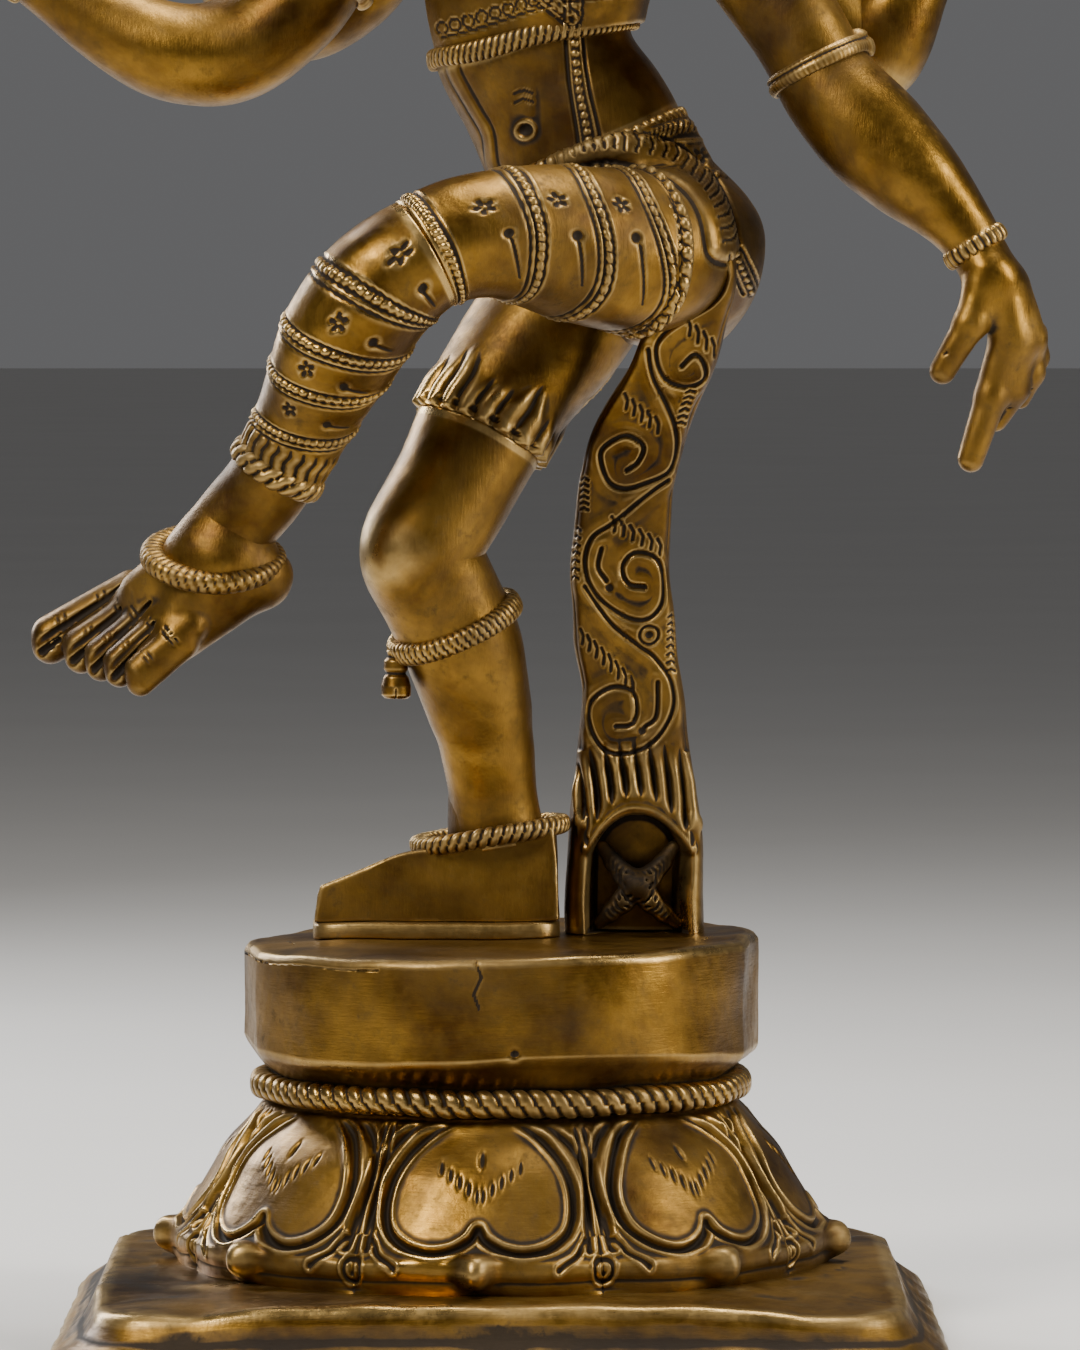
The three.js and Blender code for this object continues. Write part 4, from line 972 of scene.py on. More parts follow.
def thighSkin(p):
    c = towardViewer(p, up) * p["r"]
    s = p["s"]
    height = np.zeros(s.shape)
    slope = lambda spot: 0.5 * (1 - spot / p["length"])
    for spot in (11, 36, 60, p["length"] - 3.4):
        height += garmentBand(s - spot - slope(spot) * c * np.exp(-(c / 34) ** 2), p["turn"])
    beads = np.mod(p["turn"] * 17 / math.pi, 1) - 0.5
    height += (2.0 * np.sqrt(np.clip(1 - ((s - 2.8) / 2.3) ** 2 - (beads / 0.46) ** 2, 0, 1))
        - 1.2 * ridge(s - 5.8, 0.6))
    for spot, off in ((25, 15), (49, 13.5), (72, 12)):
        height += flowerMark(s - spot - 0.35 * off, c - off, 3.3, 1.1)
    for spot, head, length in ((24, 3, 22), (47, 0, 16), (71, 0, 15)):
        height += dotMark(s - spot - 0.3 * head, c - head, 1.7, 1.4)
        height += stemMark(-(c - head + 2.5), s - spot + 0.35 * (head - c), length, 0.6, 1.1)
    return height


def shinSkin(p):
    c = towardViewer(p, (0.81, 0, -0.58)) * p["r"]
    s = p["s"]
    height = np.zeros(s.shape)
    for spot in (20, 42, 61, 84):
        height += garmentBand(s - spot + 0.2 * c, p["turn"])
    for spot, size in ((8, 3.6), (32, 3.4), (52, 3.2), (72, 3.0)):
        height += flowerMark(s - spot, c + 4.5, size, 1.1)
    for spot in (8, 31, 52, 72):
        height += dotMark(s - spot, c - 11, 1.6, 1.3) + stemMark(c - 13, s - spot - 0.5, 8, 0.6, 1.0)
    late = np.clip((s - 88) / 4, 0, 1)
    height += late * 1.5 * (np.abs(np.sin(p["turn"] * 11 + 0.25 * np.sin(s * 0.7))) - 0.6)
    return height


def makeRaisedLeg():
    points, faces = skinLimb(limbPath(seats["hipLeft"], seats["kneeRaised"]), [30.5, 29.5, 26.5, 23, 21],
        up, 0.7, relief=thighSkin)
    makePiece("raisedThigh", points, faces, "raised_thigh", garmentBrass, 10, 0.38)
    points, faces = skinLimb(limbPath(seats["kneeRaised"], seats["hem"]), [21, 23, 23.5, 21, 18, 17.5],
        (0.81, 0, -0.58), 0.7, relief=shinSkin)
    makePiece("raisedShin", points, faces, "raised_shin", garmentBrass, 10, 0.38)
    points, faces = skinLimb(limbPath(seats["hem"], seats["ankleRaised"]), [16.5, 15.6, 15.2],
        (-0.8, 0.6, 0), 0.8)
    makePiece("raisedAnkle", points, faces, "raised_ankle", figureBrass, 10, 0.5)


def makeRings():
    rings = [
        ("standing_anklet", "ankle", roped(46, 1.6), 4.2, 3.6, "standingAnklet"),
        ("knee_band", "kneeBand", roped(58, 1.1), 3.2, 4.2, "kneeBand"),
        ("cuff_ring", "hem", roped(19, 2.0), 3.6, 4.4, "cuffRing"),
        ("raised_anklet", "raisedRing", roped(46, 0.55), 4.6, 4.2, "raisedAnklet"),
        ("hip_belt", "waist", beaded(56, 2.0), 3.0, 3.2, "hipBelt"),
        ("belly_band", "ribs", roped(84, 1.3), 2.3, 3.9, "bellyBand"),
        ("necklace", "neck", beaded(38, 1.8), 3.2, 3.4, "necklace"),
    ]
    for arm in armNames:
        rings.append((arm + "_armlet", arm + "_armlet", knotted(seats[arm + "_armlet"]), 3.2, 3.8,
            arm + "Armlet"))
        rings.append((arm + "_bracelet", arm + "_wrist", beaded(24, 1.8), 3.0, 3.6, arm + "Bracelet"))
    for node, seat, relief, thick, deep, name in rings:
        place = seats[seat]
        points, faces = skinRing(place, place["a"] - thick, place["b"] - thick, thick, deep, relief, 0.7)
        makePiece(name, points, faces, node, ornamentBrass, 8, 0.45)


makeStandingLeg()
makeRaisedLeg()
makeRings()
print("legs and rings ready")


# feet
def makeStandingFoot():
    low, high = boxOf("standing_foot")
    sole, heelX, toeX, near = boxOf("foot_slab")[1][2] + 0.3, high[0], low[0], low[1]
    ankle = seats["ankle"]["centre"]
    middle = near + 22
    place = lambda x, side, z: vec(x, side, sole + z)
    strokes = [add(place(heelX - 12, middle, 13), place(toeX + 13, middle, 9), 35, 34, 2)]
    toes = [(near + 6.5, toeX, 8.5), (near + 18.5, toeX + 2, 5.8), (near + 27, toeX + 6, 5.0),
        (near + 34, toeX + 10, 4.6), (near + 40, toeX + 14, 4.2)]
    flats = [
        flat(place(0, near + 0.5, 0), (-0.03, -1, 0.04), 0.9),
        flat(place(0, near + 44, 0), (0.1, 1, 0.12), 3),
        flat(place(heelX, 0, 0), (1, 0, 0.05), 1.6), flat(place(heelX - 5, near + 44, 0), (0.7, 0.7, 0), 5),
        flat(place(toeX, near, 0), (-1, 0, 0.12), 1.2),
        flat(place(toeX, near + 15, 0), (-0.87, 0.5, 0.1), 1.6),
        flat(place(-38, near, 26.5), (-0.16, 0.10, 1), 1.6),
        flat(place(toeX, near, 13.2), (-0.42, 0.12, 1), 1.3),
        flat(place(0, 0, 0), (0, 0, -1), 0.6),
    ]
    for side, tip, size in toes:
        strokes += [cut(place(tip + 1, side - size * 0.5, 12.2),
            place(tip + 1, side + size * 0.5, 12.2 - size * 0.1), 0.6, 0.6, 0.5)]
    for a, b in zip(toes[:-1], toes[1:]):
        gap = (a[0] + a[2] + b[0] - b[2]) / 2
        strokes += [cut(place(b[1] + 24, gap + 0.5, 25), place(b[1] + 1, gap, 13.5), 1.2, 2.2, 0.8),
            cut(place(b[1] - 1.0, gap, 15), place(a[1] - 1.5, gap, 0), 2.0, 1.5, 0.8)]
    for k in range(6):
        turn = k * math.pi / 3
        x = toeX + 13 + 2.6 * math.cos(turn)
        top = 13.2 + 0.42 * (x - toeX)
        strokes += [cut(place(x, near + 8 + 2.6 * math.sin(turn), top),
            place(x, near + 8 + 2.4 * math.sin(turn), top - 1.4), 0.9, 0.8, 0.4)]
    points, faces = sculpt(strokes + flats, 0.75)
    shaft, shaftFaces = sculpt([add(ankle + vec(0, 0, 12), vec(ankle[0], middle, sole + 18), 15.5, 16.5,
        3)], 0.8)
    faces = list(faces) + [[k + len(points) for k in face] for face in shaftFaces]
    makePiece("standingFoot", np.vstack([points, shaft]), faces, "standing_foot", figureBrass, 10, 0.5)


def makeRaisedFoot():
    root = seats["ankleRaised"]["centre"]
    tips = [vec(-169, -27, 261), vec(-157, -38, 258), vec(-148.5, -47.5, 255.5), vec(-141, -56, 253),
        vec(-133, -64, 250)]
    roots = [vec(-142, -29, 275.5), vec(-136, -38.5, 272.5), vec(-130, -47, 269.5), vec(-124, -55, 266.5),
        vec(-118, -62, 263)]
    sizes = [7.6, 6.9, 6.5, 6.1, 5.8]
    axis = seats["ankleRaised"]["axis"]
    strokes = [
        add(root - axis * 5, root + axis * 8, 15.2, 15.6, 4),
        add(root + vec(-4, 2, -8), vec(-131, -42, 277), 15.5, 10.5, 6),
        add(root + vec(-2, -2, -10), vec(-119, -57, 266), 14.5, 9, 6),
        add(root + vec(8, 3, -12), root + vec(14, 4, -16), 12, 10.5, 6),
        add(root + vec(10, 0, -18), vec(-122, -52, 259), 10, 8, 6),
        add(vec(-137, -33, 273.5), vec(-119, -60, 262), 8.6, 7.6, 4),
    ]
    for tip, start, size in zip(tips, roots, sizes):
        along = unit(tip - start)
        strokes += [add(start - along * 6, tip + along * (5.5 - size), size + 0.2, size - 0.4, 2.2),
            add(start - along * 2 - vec(0, 0, 4.5), tip + along * (5.2 - size) - vec(0, 0, 4.6), size - 0.2,
                size - 0.7, 2.0)]
    for k in range(4):
        start, end = (roots[k] + roots[k + 1]) / 2, (tips[k] + tips[k + 1]) / 2
        along = unit(end - start)
        strokes += [cut(start - along * 5 + vec(-1, -2, 7.2), end + along * 9 + vec(-1, -2, 3.4), 0.9, 2.0,
            0.6)]
        strokes += [cut(start + along * 1 + vec(-0.5, -1.5, 3.5), end + along * 9, 0.9, 1.7, 0.6)]
    for tip, start, size in zip(tips, roots, sizes):
        along = unit(tip - start)
        side = unit(np.cross(along, vec(0.3, -0.75, 0.6)))
        lift = unit(np.cross(side, along))
        lift = lift * (1 if lift[2] > 0 else -1)
        for share in (0.10, 0.20, 0.66, 0.76):
            spot = start + (tip - start) * share + lift * (size + 0.5)
            strokes += [cut(spot - side * size * 0.75 - lift * 0.9, spot + side * size * 0.75 - lift * 0.9,
                0.5, 0.5, 0.4)]
    strokes += [cut(root + vec(-22, -18, 6), root + vec(-21.5, -16.5, 5.6), 1.6, 1.6, 0.8)]
    points, faces = sculpt(strokes, 0.62)
    makePiece("raisedFoot", points, faces, "raised_foot", figureBrass, 10, 0.45)


makeStandingFoot()
makeRaisedFoot()
print("feet ready")

# trunk
front, rightHand = vec(-0.6, -0.8, 0), vec(-0.8, 0.6, 0)


def viewMarks(points, normals, marks):
    # heights from marks drawn in the view from the front, on the side that faces it
    facing = np.clip(-normals[:, 1] * 3, 0, 1)
    return marks(points[:, 0], points[:, 2]) * facing


def meshNormals(points, faces):
    quads = np.array([f if len(f) == 4 else f + [f[2]] for f in faces])
    face = np.cross(points[quads[:, 2]] - points[quads[:, 0]], points[quads[:, 3]] - points[quads[:, 1]])
    normal = np.stack([sum(np.bincount(quads[:, c], face[:, k], len(points)) for c in range(4))
        for k in range(3)], 1)
    return normal / np.maximum(np.linalg.norm(normal, axis=1, keepdims=True), 1e-9)


def pelvisMarks(x, z):
    height = np.zeros(x.shape)
    feather = smoothThrough([(22, 439), (34, 443), (46, 443), (62, 438), (73, 430), (79, 420), (82, 406)], 41)
    ribbon = lineDistance(x, z, feather)
    height += 2.2 * np.exp(-(ribbon / 5.4) ** 4)
    for k, a in enumerate(feather[1:-1:2]):
        ahead = unit(feather[2 * k + 2] - feather[2 * k])
        outer = vec(-ahead[1], ahead[0])
        height += cutRoute(x, z, [a + outer * 5.2 - ahead * 2.2, a + outer * 2.6,
            a - outer * 1.6 + ahead * 0.4], 0.42, 1.0, 0.25)
    height -= 1.3 * ridge(ribbon - 6.6, 0.8)
    string = smoothThrough([(27, 434), (40, 435.5), (48, 433), (56, 427.5), (63, 418), (65.5, 406)], 17)
    height += beadsAt(x, z, string, 2.0, 2.4)
    height -= 0.9 * ridge(lineDistance(x, z, string), 2.2)
    flank = smoothThrough([(53, 446), (62, 449), (74, 452)], 12)
    height += 1.4 * np.exp(-(lineDistance(x, z, flank) / 2.2) ** 4)
    for a in flank:
        height += cutRoute(x, z, [a + vec(-0.3, -2), a + vec(0.5, 2)], 0.4, 0.9, 0.2)
    height += flowerMark(x - 75, z - 440, 3.2,
        1.1) + 1.2 * ridge(lineDistance(x, z, [(60, 443.5), (80, 446.5)]), 0.8)
    height += beadsAt(x, z, [(76 + 2.3 * k, 433.2) for k in range(6)], 1.0, 1.7)
    for shift in (-3.2, 3.2):
        height += cutRoute(x, z, [(86 + shift, 404 + shift * 0.4), (93 + shift, 390 + shift * 0.4)], 0.5, 1.0)
    height += beadsAt(x, z, [(86.5 + 1.1 * k, 403 - 2.3 * k) for k in range(7)], 1.0, 1.6)
    return height


def makePelvis():
    w, hr, hl = seats["waist"], seats["hipRight"], seats["hipLeft"]
    low = drumTop
    strokes = [
        add(w["centre"] + rightHand * 14, w["centre"] - rightHand * 14, 29, 29, 4),
        add(w["centre"] + vec(6, 0, -14) + rightHand * 14, w["centre"] + vec(6, 0, -16) - rightHand * 14,
            31, 31, 10),
        add(vec(46, 6, low + 262), vec(67, -10, low + 259), 31, 29.5, 10),
        add(vec(60, -6, low + 250), vec(66, -8, low + 244), 28, 26, 10),
        add(vec(46, 8, low + 262), hr["centre"] + hr["axis"] * 2, 29, 29, 8),
        add(vec(68, -22, low + 258), hl["centre"] - hl["axis"] * 1, 29.5, 30.5, 8),
        flat(w["centre"] + w["axis"] * 2, w["axis"]),
    ]
    points, faces = sculpt(strokes, 0.85)
    normals = meshNormals(points, faces)
    points = points + normals * viewMarks(points, normals, pelvisMarks)[:, None]
    makePiece("pelvisCasting", points, faces, "pelvis", garmentBrass, 10, 0.42)


def abdomenMarks(x, z):
    height = np.zeros(x.shape)
    navel = np.hypot(x - 9, z - 449)
    height += 1.1 * ridge(navel - 3.4, 0.9) - 1.8 * ridge(navel, 1.7) + 1.0 * ridge(navel, 0.7)
    for level in (463.3, 460.2):
        arc = smoothThrough([(4.5, level - 0.6), (8, level + 0.7), (11.5, level - 0.4)], 8)
        height += cutRoute(x, z, arc, 0.45, 0.5)
    thread = smoothThrough([(26.7, 492), (28.5, 472), (31, 455), (34, 437)], 34)
    across = lineDistance(x, z, thread)
    wide = 1.9 + np.clip((489 - z) / 48, 0, 1) * 0.9
    height += 0.9 * ridge(across - wide, 0.55) + 0.9 * np.exp(-(across / 1.8) ** 6)
    height += beadsAt(x, z, thread[::2], 1.0, 2.4)
    height -= 0.9 * ridge(across - wide - 1.3, 0.5)
    edge = smoothThrough([(-23, 478), (-20, 469), (-13, 457), (-8, 448), (-6.6, 437), (-3, 427)], 26)
    ribbon = lineDistance(x, z, edge + vec(3.2, 0))
    height += 0.8 * np.exp(-(ribbon / 1.7) ** 4) - 0.35 * ridge(ribbon - 2.6, 0.5)
    height += 0.5 * ridge(lineDistance(x, z, [(12, 470), (10, 456)]), 3.5) - 0.5 * ridge(x - 13,
        2.0) * ridge(z - 458, 9)
    return height


def makeAbdomen():
    path = limbPath(seats["waist"], seats["ribs"])
    points, faces = skinLimb(path, [(41, 31), (40, 29.5), (39, 28.3), (40.5, 29.4)], (-0.8, 0.6, 0), 0.7,
        2.15)
    normals = meshNormals(points, faces)
    points = points + normals * viewMarks(points, normals, abdomenMarks)[:, None]
    makePiece("abdomenCasting", points, faces, "abdomen", figureBrass, 14, 0.5)


def chestMarks(x, z):
    height = np.zeros(x.shape)
    for route in ([(-20, 545), (-4, 520), (14, 500), (26, 490)],
            [(22, 560), (26, 530), (27, 505), (27, 490)]):
        line = smoothThrough(route, 30)
        across = lineDistance(x, z, line)
        height += 0.9 * ridge(across - 2.2, 0.5) - 0.7 * ridge(across - 3.2, 0.5)
        height += beadsAt(x, z, line[::2], 1.0, 2.2)
    for depth in (0, 6, 12):
        collar = smoothThrough([(-20, 568), (-12, 556 - depth), (2, 549 - depth), (18, 551 - depth),
            (34, 562)], 44)
        across = lineDistance(x, z, collar)
        height += 0.8 * ridge(across, 1.2) + cutLine(np.abs(across - 2.2), 0.4, 0.6)
        height += beadsAt(x, z, collar[::2], 0.8, 2.0)
    lowest = smoothThrough([(-22, 484), (2, 490), (26, 496), (52, 500)], 30)
    across = lineDistance(x, z, lowest)
    height += cutLine(across, 0.5, 0.7)
    for spot in lowest[::2]:
        height += cutLine(np.abs(np.hypot(x - spot[0], z - spot[1] - 3.4) - 2.1), 0.4, 0.7)
    return height


def makeChest():
    ribs, neck = seats["ribs"], seats["neck"]
    c = ribs["centre"]
    strokes = [
        add(c + rightHand * 12 + vec(0, 0, 2), c - rightHand * 12 + vec(0, 0, 2), 27.5, 27.5, 4),
        add(c + rightHand * 15 + vec(2, 0, 22), c - rightHand * 15 + vec(2, 0, 22), 31, 31, 10),
        add(c + rightHand * 22 + vec(3, 0, 48), c - rightHand * 22 + vec(3, 0, 48), 30, 30, 12),
        add(c + rightHand * 20 + front * 12 + vec(3, 0, 44),
            c + rightHand * 12 + front * 14 + vec(3, 0, 50), 20, 19, 8),
        add(c - rightHand * 20 + front * 12 + vec(3, 0, 44),
            c - rightHand * 12 + front * 14 + vec(3, 0, 50), 20, 19, 8),
        add(c + vec(2, 0, 62), neck["centre"] - vec(0, 0, 1), 22, 18.5, 10),
        flat(c - ribs["axis"] * 2, -ribs["axis"]),
    ]
    for arm in armNames:
        shoulder = seats[arm + "_shoulder"]["centre"]
        strokes.append(add(c + vec(3, 0, 66) + (shoulder - c) * vec(0.4, 0.4, 0), shoulder, 17, 17.5, 9))
    points, faces = sculpt(strokes, 0.95)
    normals = meshNormals(points, faces)
    points = points + normals * viewMarks(points, normals, chestMarks)[:, None]
    makePiece("chestCasting", points, faces, "chest", figureBrass, 10, 0.5)


makePelvis()
makeAbdomen()
makeChest()
print("trunk ready")

# arms and hands
armLook = {
    "front_left": {"reach": (0.3, 0.3)},
    "rear_left": {"reach": (1.15, 1.1), "palm": (0.3, 0, 0.95), "across": (-0.8, -0.6, 0.1),
        "fingers": (0.5, 0, 0.86), "thumb": (-0.6, -0.4, 0.7)},
    "front_right": {"reach": (0.55, 0.55), "palm": (-0.25, 0, 0.97), "across": (-0.8, 0.6, 0),
        "fingers": (0, 0, 1), "thumb": (0.75, -0.4, 0.53)},
    "rear_right": {"reach": (0.7, 0.7), "palm": (-0.3, 0, 0.95), "across": (-0.8, 0.6, 0),
        "fingers": (-0.3, -0.3, 0.9), "thumb": (0.7, -0.2, 0.68)},
}


hangingHand = {
    "palm": [[(0, 0, 0), (7, -1, -12), 10.5, 10.0], [(8, -3, -14), (14, -1, -36), 9.4, 7.4],
        [(12, 2, -16), (20, 4, -35), 8.6, 6.8], [(14, 1, -34), (12, 2, -52), 7.4, 6.2]],
    "fingers": [[(12, -2, -33), (6, -1, -55), (-1.5, 0, -78), 6.2],
        [(17, 1, -36), (15, 4, -52), (8, 8, -64), 5.4], [(21, 5, -34), (21.5, 8, -46), (17, 12, -56), 5.0],
        [(22.5, 9, -32), (24, 12, -41), (20.5, 16, -49), 4.4]],
    "thumb": [(5, -6, -10), (-2, -8, -28), (-12, -7, -46), 7.0],
}


def makeHangingHand(arm):
    root = seats[arm + "_wrist"]["centre"]
    spot = lambda place: root + vec(*place)
    strokes = [add(spot(a), spot(b), ra, rb, 4) for a, b, ra, rb in hangingHand["palm"]]
    for a, b, c, size in hangingHand["fingers"]:
        strokes += [add(spot(a), spot(b), size, size - 0.3, 2.6),
            add(spot(b), spot(c), size - 0.3, size - 1.3, 2.2)]
        knuckle = spot(b) + (spot(c) - spot(b)) * 0.55
        strokes += [cut(knuckle + vec(-size, 0.4 - size, 1), knuckle + vec(size, 0.4 - size, -1), 0.4, 0.4,
            0.4)]
    a, b, c, size = hangingHand["thumb"]
    strokes += [add(spot(a), spot(b), size + 0.8, size - 0.9, 5),
        add(spot(b), spot(c), size - 0.9, size - 2.2, 2.5),
        cut(spot(c) + vec(-2.5, -4.6, 5), spot(c) + vec(1.5, -4.6, 7), 0.5, 0.5, 0.4)]
    points, faces = sculpt(strokes, 0.6)
    makePiece(arm + "Hand", points, faces, arm + "_hand", figureBrass, 10, 0.45)


def makeHand(arm):
    look = armLook[arm]
    wrist = seats[arm + "_wrist"]
    palm, across, fingers, thumb = (unit(vec(*look[k])) for k in ("palm", "across", "fingers", "thumb"))
    across = unit(across - palm * (across @ palm))
    root = wrist["centre"]
    flat = np.cross(palm, across)
    strokes = [add(root, root + palm * 10, 9.5, 9.5, 3),
        add(root + palm * 14 + across * 5, root + palm * 34 + across * 8, 8, 6.6, 5),
        add(root + palm * 14 - across * 5, root + palm * 34 - across * 8, 8, 6.4, 5),
        add(root + palm * 22, root + palm * 34, 7.6, 7, 5)]
    for k, (side, size, length) in enumerate([(11, 4.6, 33), (4, 4.8, 37), (-4, 4.6, 34), (-10.5, 4.1, 27)]):
        knuckle = root + palm * (37 - abs(side) * 0.15) + across * side
        spread = unit(fingers + across * side * 0.012)
        middle = knuckle + spread * length * 0.5
        tip = knuckle + fingers * length
        strokes += [add(knuckle - palm * 6, middle, size + 0.5, size - 0.1, 1.4),
            add(middle, tip, size - 0.1, size - 1.3, 1.0)]
        for face in (-flat * size, flat * size):
            strokes += [cut(middle - across * 4 + face, middle + across * 4 + face, 0.5, 0.5, 0.4)]
    base = root + palm * 12 + across * 6
    strokes += [add(base, base + thumb * 20 + across * 3, 7.6, 6, 4),
        add(base + thumb * 20 + across * 3, base + thumb * 37 + across * 3, 5.6, 3.9, 1.5)]
    points, faces = sculpt(strokes, 0.62)
    reach = (boxOf(arm + "_hand")[1][2] - root[2]) / (points[:, 2].max() - root[2])
    points[:, 2] = np.where(points[:, 2] > root[2], root[2] + (points[:, 2] - root[2]) * reach, points[:, 2])
    makePiece(arm + "Hand", points, faces, arm + "_hand", figureBrass, 10, 0.45)


def makeArms():
    for arm in armNames:
        shoulder, armlet, wrist = (seats[f"{arm}_{part}"] for part in ("shoulder", "armlet", "wrist"))
        down = unit(armlet["centre"] - shoulder["centre"])
        start = {"centre": shoulder["centre"] - down * 3, "axis": down}
        points, faces = skinLimb(limbPath(start, armlet), [17.5, 18.5, 18.5, 17.5], (-0.8, 0.6, 0), 0.9)
        makePiece(arm + "UpperArm", points, faces, arm + "_upper_arm", figureBrass, 10, 0.5)
        reach = armLook[arm]["reach"]
        points, faces = skinLimb(limbPath(armlet, wrist, reach), [17.5, 19.5, 20, 18, 14, 10.8],
            (-0.8, 0.6, 0), 0.85)
        makePiece(arm + "Forearm", points, faces, arm + "_forearm", figureBrass, 10, 0.5)
        if arm == "front_left":
            makeHangingHand(arm)
        else:
            makeHand(arm)


makeArms()
print("arms ready")

# head, crown and what the rear hands hold
def makeHead():
    neck = seats["neck"]["centre"]
    chin = neck[2] + 16
    size = 72.0
    middle = vec(neck[0] - 2, neck[1] - 2, chin + size / 2)
    spot = lambda side, out, share: middle + rightHand * side + front * out + vec(0, 0, (share - 0.5) * size)
    strokes = [
        add(spot(0, -2, 0.62), spot(0, 1, 0.66), 27, 26.5, 4),
        add(spot(0, 6, 0.34), spot(0, 8, 0.30), 19.5, 18.5, 9),
        add(spot(0, 17, 0.10), spot(0, 18, 0.11), 9.5, 9.5, 7),
        add(neck - vec(0, 0, 2), spot(0, -6, 0.3), 17, 16.5, 5),
        add(spot(0, 26, 0.56), spot(0, 31.5, 0.36), 2.6, 4.0, 2.2),
        add(spot(3.6, 27.5, 0.355), spot(-3.6, 27.5, 0.355), 3.0, 3.0, 1.6),
        add(spot(7, 24, 0.235), spot(-7, 24, 0.235), 2.7, 2.7, 1.6),
        add(spot(5, 24, 0.19), spot(-5, 24, 0.19), 3.0, 3.0, 1.8),
        cut(spot(8.5, 28, 0.213), spot(-8.5, 28, 0.213), 0.6, 0.6, 0.5),
    ]
    for side in (-1, 1):
        strokes += [
            cut(spot(side * 10.5, 29, 0.50), spot(side * 12, 28.5, 0.50), 4.6, 4.2, 3.0),
            add(spot(side * 8, 22.6, 0.498), spot(side * 13.5, 20.6, 0.498), 3.9, 3.4, 0.7),
            cut(spot(side * 5.2, 27.2, 0.475), spot(side * 16.5, 22.8, 0.485), 0.45, 0.45, 0.4),
            cut(spot(side * 4.8, 27, 0.53), spot(side * 16.5, 22.4, 0.535), 0.4, 0.4, 0.4),
            add(spot(side * 4, 25.2, 0.595), spot(side * 11, 24.4, 0.625), 1.1, 1.1, 1.6),
            add(spot(side * 11, 24.4, 0.625), spot(side * 18, 19.4, 0.59), 1.1, 0.9, 1.6),
            add(spot(side * 12, 17, 0.30), spot(side * 13, 16, 0.36), 8, 9, 6),
            add(spot(side * 26.5, -2, 0.56), spot(side * 27, -1, 0.40), 4.2, 3.2, 1.2),
            add(spot(side * 27, -1, 0.40), spot(side * 27, 0, 0.26), 2.8, 3.4, 1.2),
            cut(spot(side * 31, 1, 0.55), spot(side * 31, 1, 0.46), 1.6, 1.2, 0.8),
        ]
    points, faces = sculpt(strokes, 0.7)
    makePiece("headCasting", points, faces, "head", figureBrass, 10, 0.5)


def lathed(profile, seat, relief=None, step=0.7, oval=1.0):
    # a turned form round the seat's axis; the profile runs from the foot to the top
    line, along = resample(np.array(profile, float), step)
    columns = max(48, int(2 * math.pi * line[:, 0].max() / step))
    turn = np.linspace(-math.pi, math.pi, columns, endpoint=False)
    axis = seat["axis"]
    wide = unit(seat["wide"] - axis * (seat["wide"] @ axis))
    narrow = np.cross(axis, wide)
    radius = line[:, :1] + (relief(turn[None], line[:, 1:], along[:, None]) if relief else 0 * turn[None])
    radius = np.maximum(radius, 0.01)
    grid = (seat["centre"] + wide * (radius * np.cos(turn))[..., None]
        + narrow * (oval * radius * np.sin(turn))[..., None] + axis * line[:, 1][:, None, None])
    return closedSkin(grid)


def makeCrown():
    low, high = boxOf("crown")
    seat = {"centre": vec((low[0] + high[0]) / 2, (low[1] + high[1]) / 2, low[2]), "axis": vec(0, 0, 1),
        "wide": rightHand}
    tall = high[2] - low[2]
    tiers = [(0, 26.5), (0.03, 29), (0.07, 30), (0.12, 29.4), (0.155, 27), (0.17, 25), (0.2, 25.6),
        (0.34, 24.2), (0.37, 26), (0.41, 26.6), (0.445, 25), (0.46, 21.5), (0.5, 22), (0.62, 19),
        (0.65, 20.4), (0.69, 20.6), (0.72, 17), (0.74, 14.6), (0.78, 14.6), (0.85, 11), (0.875, 12),
        (0.91, 11), (0.93, 7), (0.96, 7), (0.985, 4), (1.0, 0.5)]
    profile = [(r, share * tall) for share, r in tiers]

    def relief(turn, level, along):
        share = level / tall
        height = 1.1 * np.abs(np.sin(turn * 24)) * (np.abs(share - 0.075) < 0.045)
        height = height + 0.9 * np.abs(np.sin(turn * 22)) * (np.abs(share
            - 0.41) < 0.03) + 0.8 * np.abs(np.sin(turn * 16)) * (np.abs(share - 0.675) < 0.025)
        for low, high, petals in ((0.175, 0.345, 10), (0.47, 0.63, 9), (0.75, 0.85, 7)):
            rise = np.clip((share - low) / (high - low), 0, 1)
            leaf = np.abs(np.mod(turn * petals / (2 * math.pi), 1) - 0.5) * 2
            inside = (share > low) * (share < high)
            outline = leaf - np.sqrt(np.clip(1 - rise ** 2, 0, 1)) * 0.92
            height = height + inside * (1.1 * (outline < 0) - 1.0 * ridge(outline + 0.12, 0.07))
        return height

    points, faces = lathed(profile, seat, relief, 0.6, 1.06)
    makePiece("crownCasting", points, faces, "crown", ornamentBrass, 8, 0.45)


def makeEarrings():
    for side in ("right", "left"):
        low, high = boxOf("earring_" + side)
        seat = {"centre": (low + high) / 2, "axis": front, "wide": rightHand, "narrow": vec(0, 0, 1)}
        points, faces = skinRing(seat, 6.0, 6.0, 2.1, 2.4, beaded(18, 1.2), 0.55)
        makePiece(side + "Earring", points, faces, "earring_" + side, ornamentBrass, 8, 0.4)


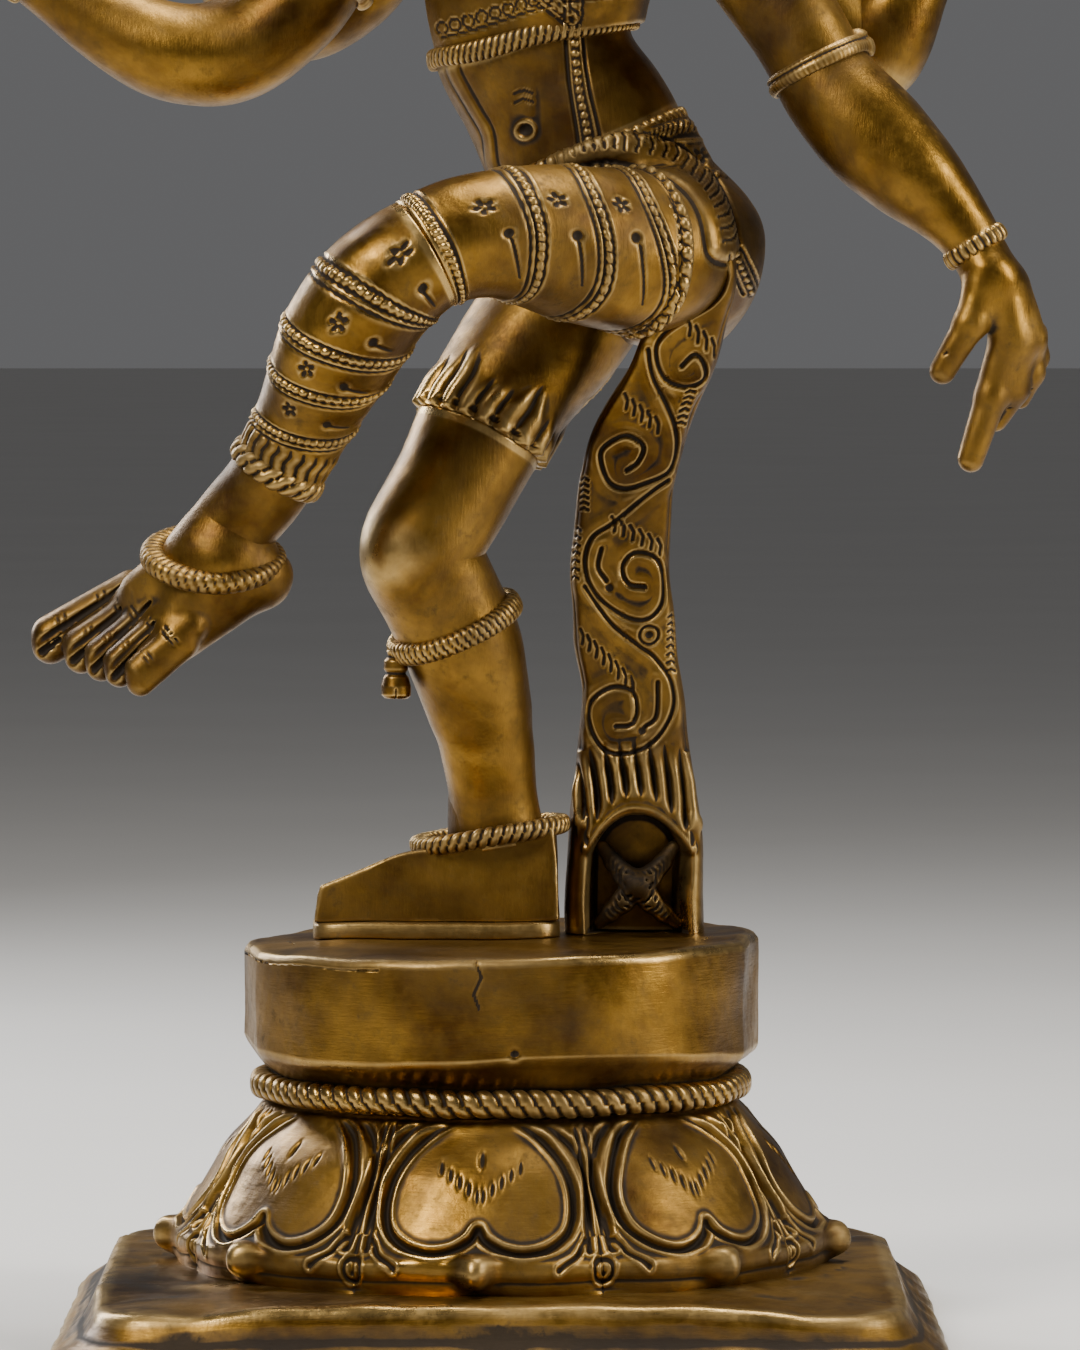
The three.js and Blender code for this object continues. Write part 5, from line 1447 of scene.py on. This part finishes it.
def makeFlame():
    low, high = boxOf("flame")
    middle = vec((low[0] + high[0]) / 2, (low[1] + high[1]) / 2, 0)
    base = low[2] - 3
    spot = lambda x, z, y=0.0: middle + vec(x, y, base + z)
    strokes = [add(spot(0, 7), spot(0, 9), 7, 10, 4), add(spot(-5, 12), spot(5, 12), 9.5, 9.5, 4),
        cut(spot(-16, 4), spot(16, 4), 0.8, 0.8, 0.6), add(spot(0, 14), spot(0.5, 34), 6.4, 4.6, 2),
        add(spot(0.5, 34), spot(-1.5, high[2] - base - 1.5), 4.6, 0.8, 1.2)]
    for side in (-1, 1):
        strokes += [add(spot(side * 6, 14), spot(side * 9.5, 26), 5, 4, 2),
            add(spot(side * 9.5, 26), spot(side * 12, 37), 4, 0.8, 1.2),
            add(spot(side * 3, 15, -5), spot(side * 3.5, 27, -5), 3.6, 0.8, 1.2),
            cut(spot(side * 4, 16, -6), spot(side * 3, 40, -5), 0.8, 0.8, 0.8)]
    points, faces = sculpt(strokes, 0.6)
    makePiece("flameBowl", points, faces, "flame", ornamentBrass, 8, 0.4)


def makeHandDrum():
    low, high = boxOf("hand_drum")
    tilt = math.radians(68)
    seat = {"centre": (low + high) / 2 - vec(0, 0, 7), "axis": vec(math.sin(tilt), 0, math.cos(tilt)),
        "wide": vec(0, 1, 0)}
    profile = [(0.5, -15), (11.6, -15), (12.8, -14.4), (13, -12.6), (12, -11.6), (9, -7), (6, -3), (5.6, 0),
        (6, 3), (9, 7), (12, 11.6), (13, 12.6), (12.8, 14.4), (11.6, 15), (0.5, 15)]

    def relief(turn, level, along):
        lace = 0.5 * np.abs(np.sin(turn * 6 + level * 0.12)) * (np.abs(level) < 11)
        belt = 0.9 * (np.abs(level) < 2.2) * (0.6 + 0.4 * np.sin(turn * 14))
        return lace + belt

    points, faces = lathed(profile, seat, relief, 0.6)
    makePiece("handDrum", points, faces, "hand_drum", ornamentBrass, 8, 0.4)
    low, high = boxOf("knee_pendant")
    middle = (low + high) / 2
    tall = high[2] - low[2]
    seat = {"centre": vec(middle[0] + 6, middle[1] - 2, low[2] - 4), "axis": vec(0, 0, 1),
        "wide": vec(1, 0, 0)}
    bell = [(0.5, 0), (4.4, 0), (5.6, 1.2), (5.7, 4.5), (4.8, 8), (3.6, 9.4), (4.6, 11), (4.4, 14),
        (3.0, 15.5), (3.4, tall + 3)]
    points, faces = lathed(bell, seat, lambda turn, level,
        along: -1.0 * (np.abs(np.sin(turn * 2)) < 0.12) * (level < 4) + 0 * turn, 0.5)
    makePiece("kneePendant", points, faces, "knee_pendant", ornamentBrass, 8, 0.4)


def makeFixings():
    f = Finish("fixingSteel")
    place = f.node("TexCoord", output=3)
    turned = f.node("TexNoise", {}, {"Vector": place, "Scale": 900.0, "Detail": 3.0})
    steel = f.close(f.node("BsdfPrincipled", {},
        {"Base Color": f.mixColour(turned, (0.30, 0.29, 0.28), (0.42, 0.41, 0.39)),
            "Roughness": turned * 0.2 + 0.28, "Metallic": 1.0}))
    for node in ("foot_washer", "foot_nut", "sash_washer", "sash_nut"):
        mesh = nodes[node].data
        mesh.materials.clear()
        mesh.materials.append(steel)


makeHead()
makeCrown()
makeEarrings()
makeFlame()
makeHandDrum()
makeFixings()
print("head, crown and held things ready")
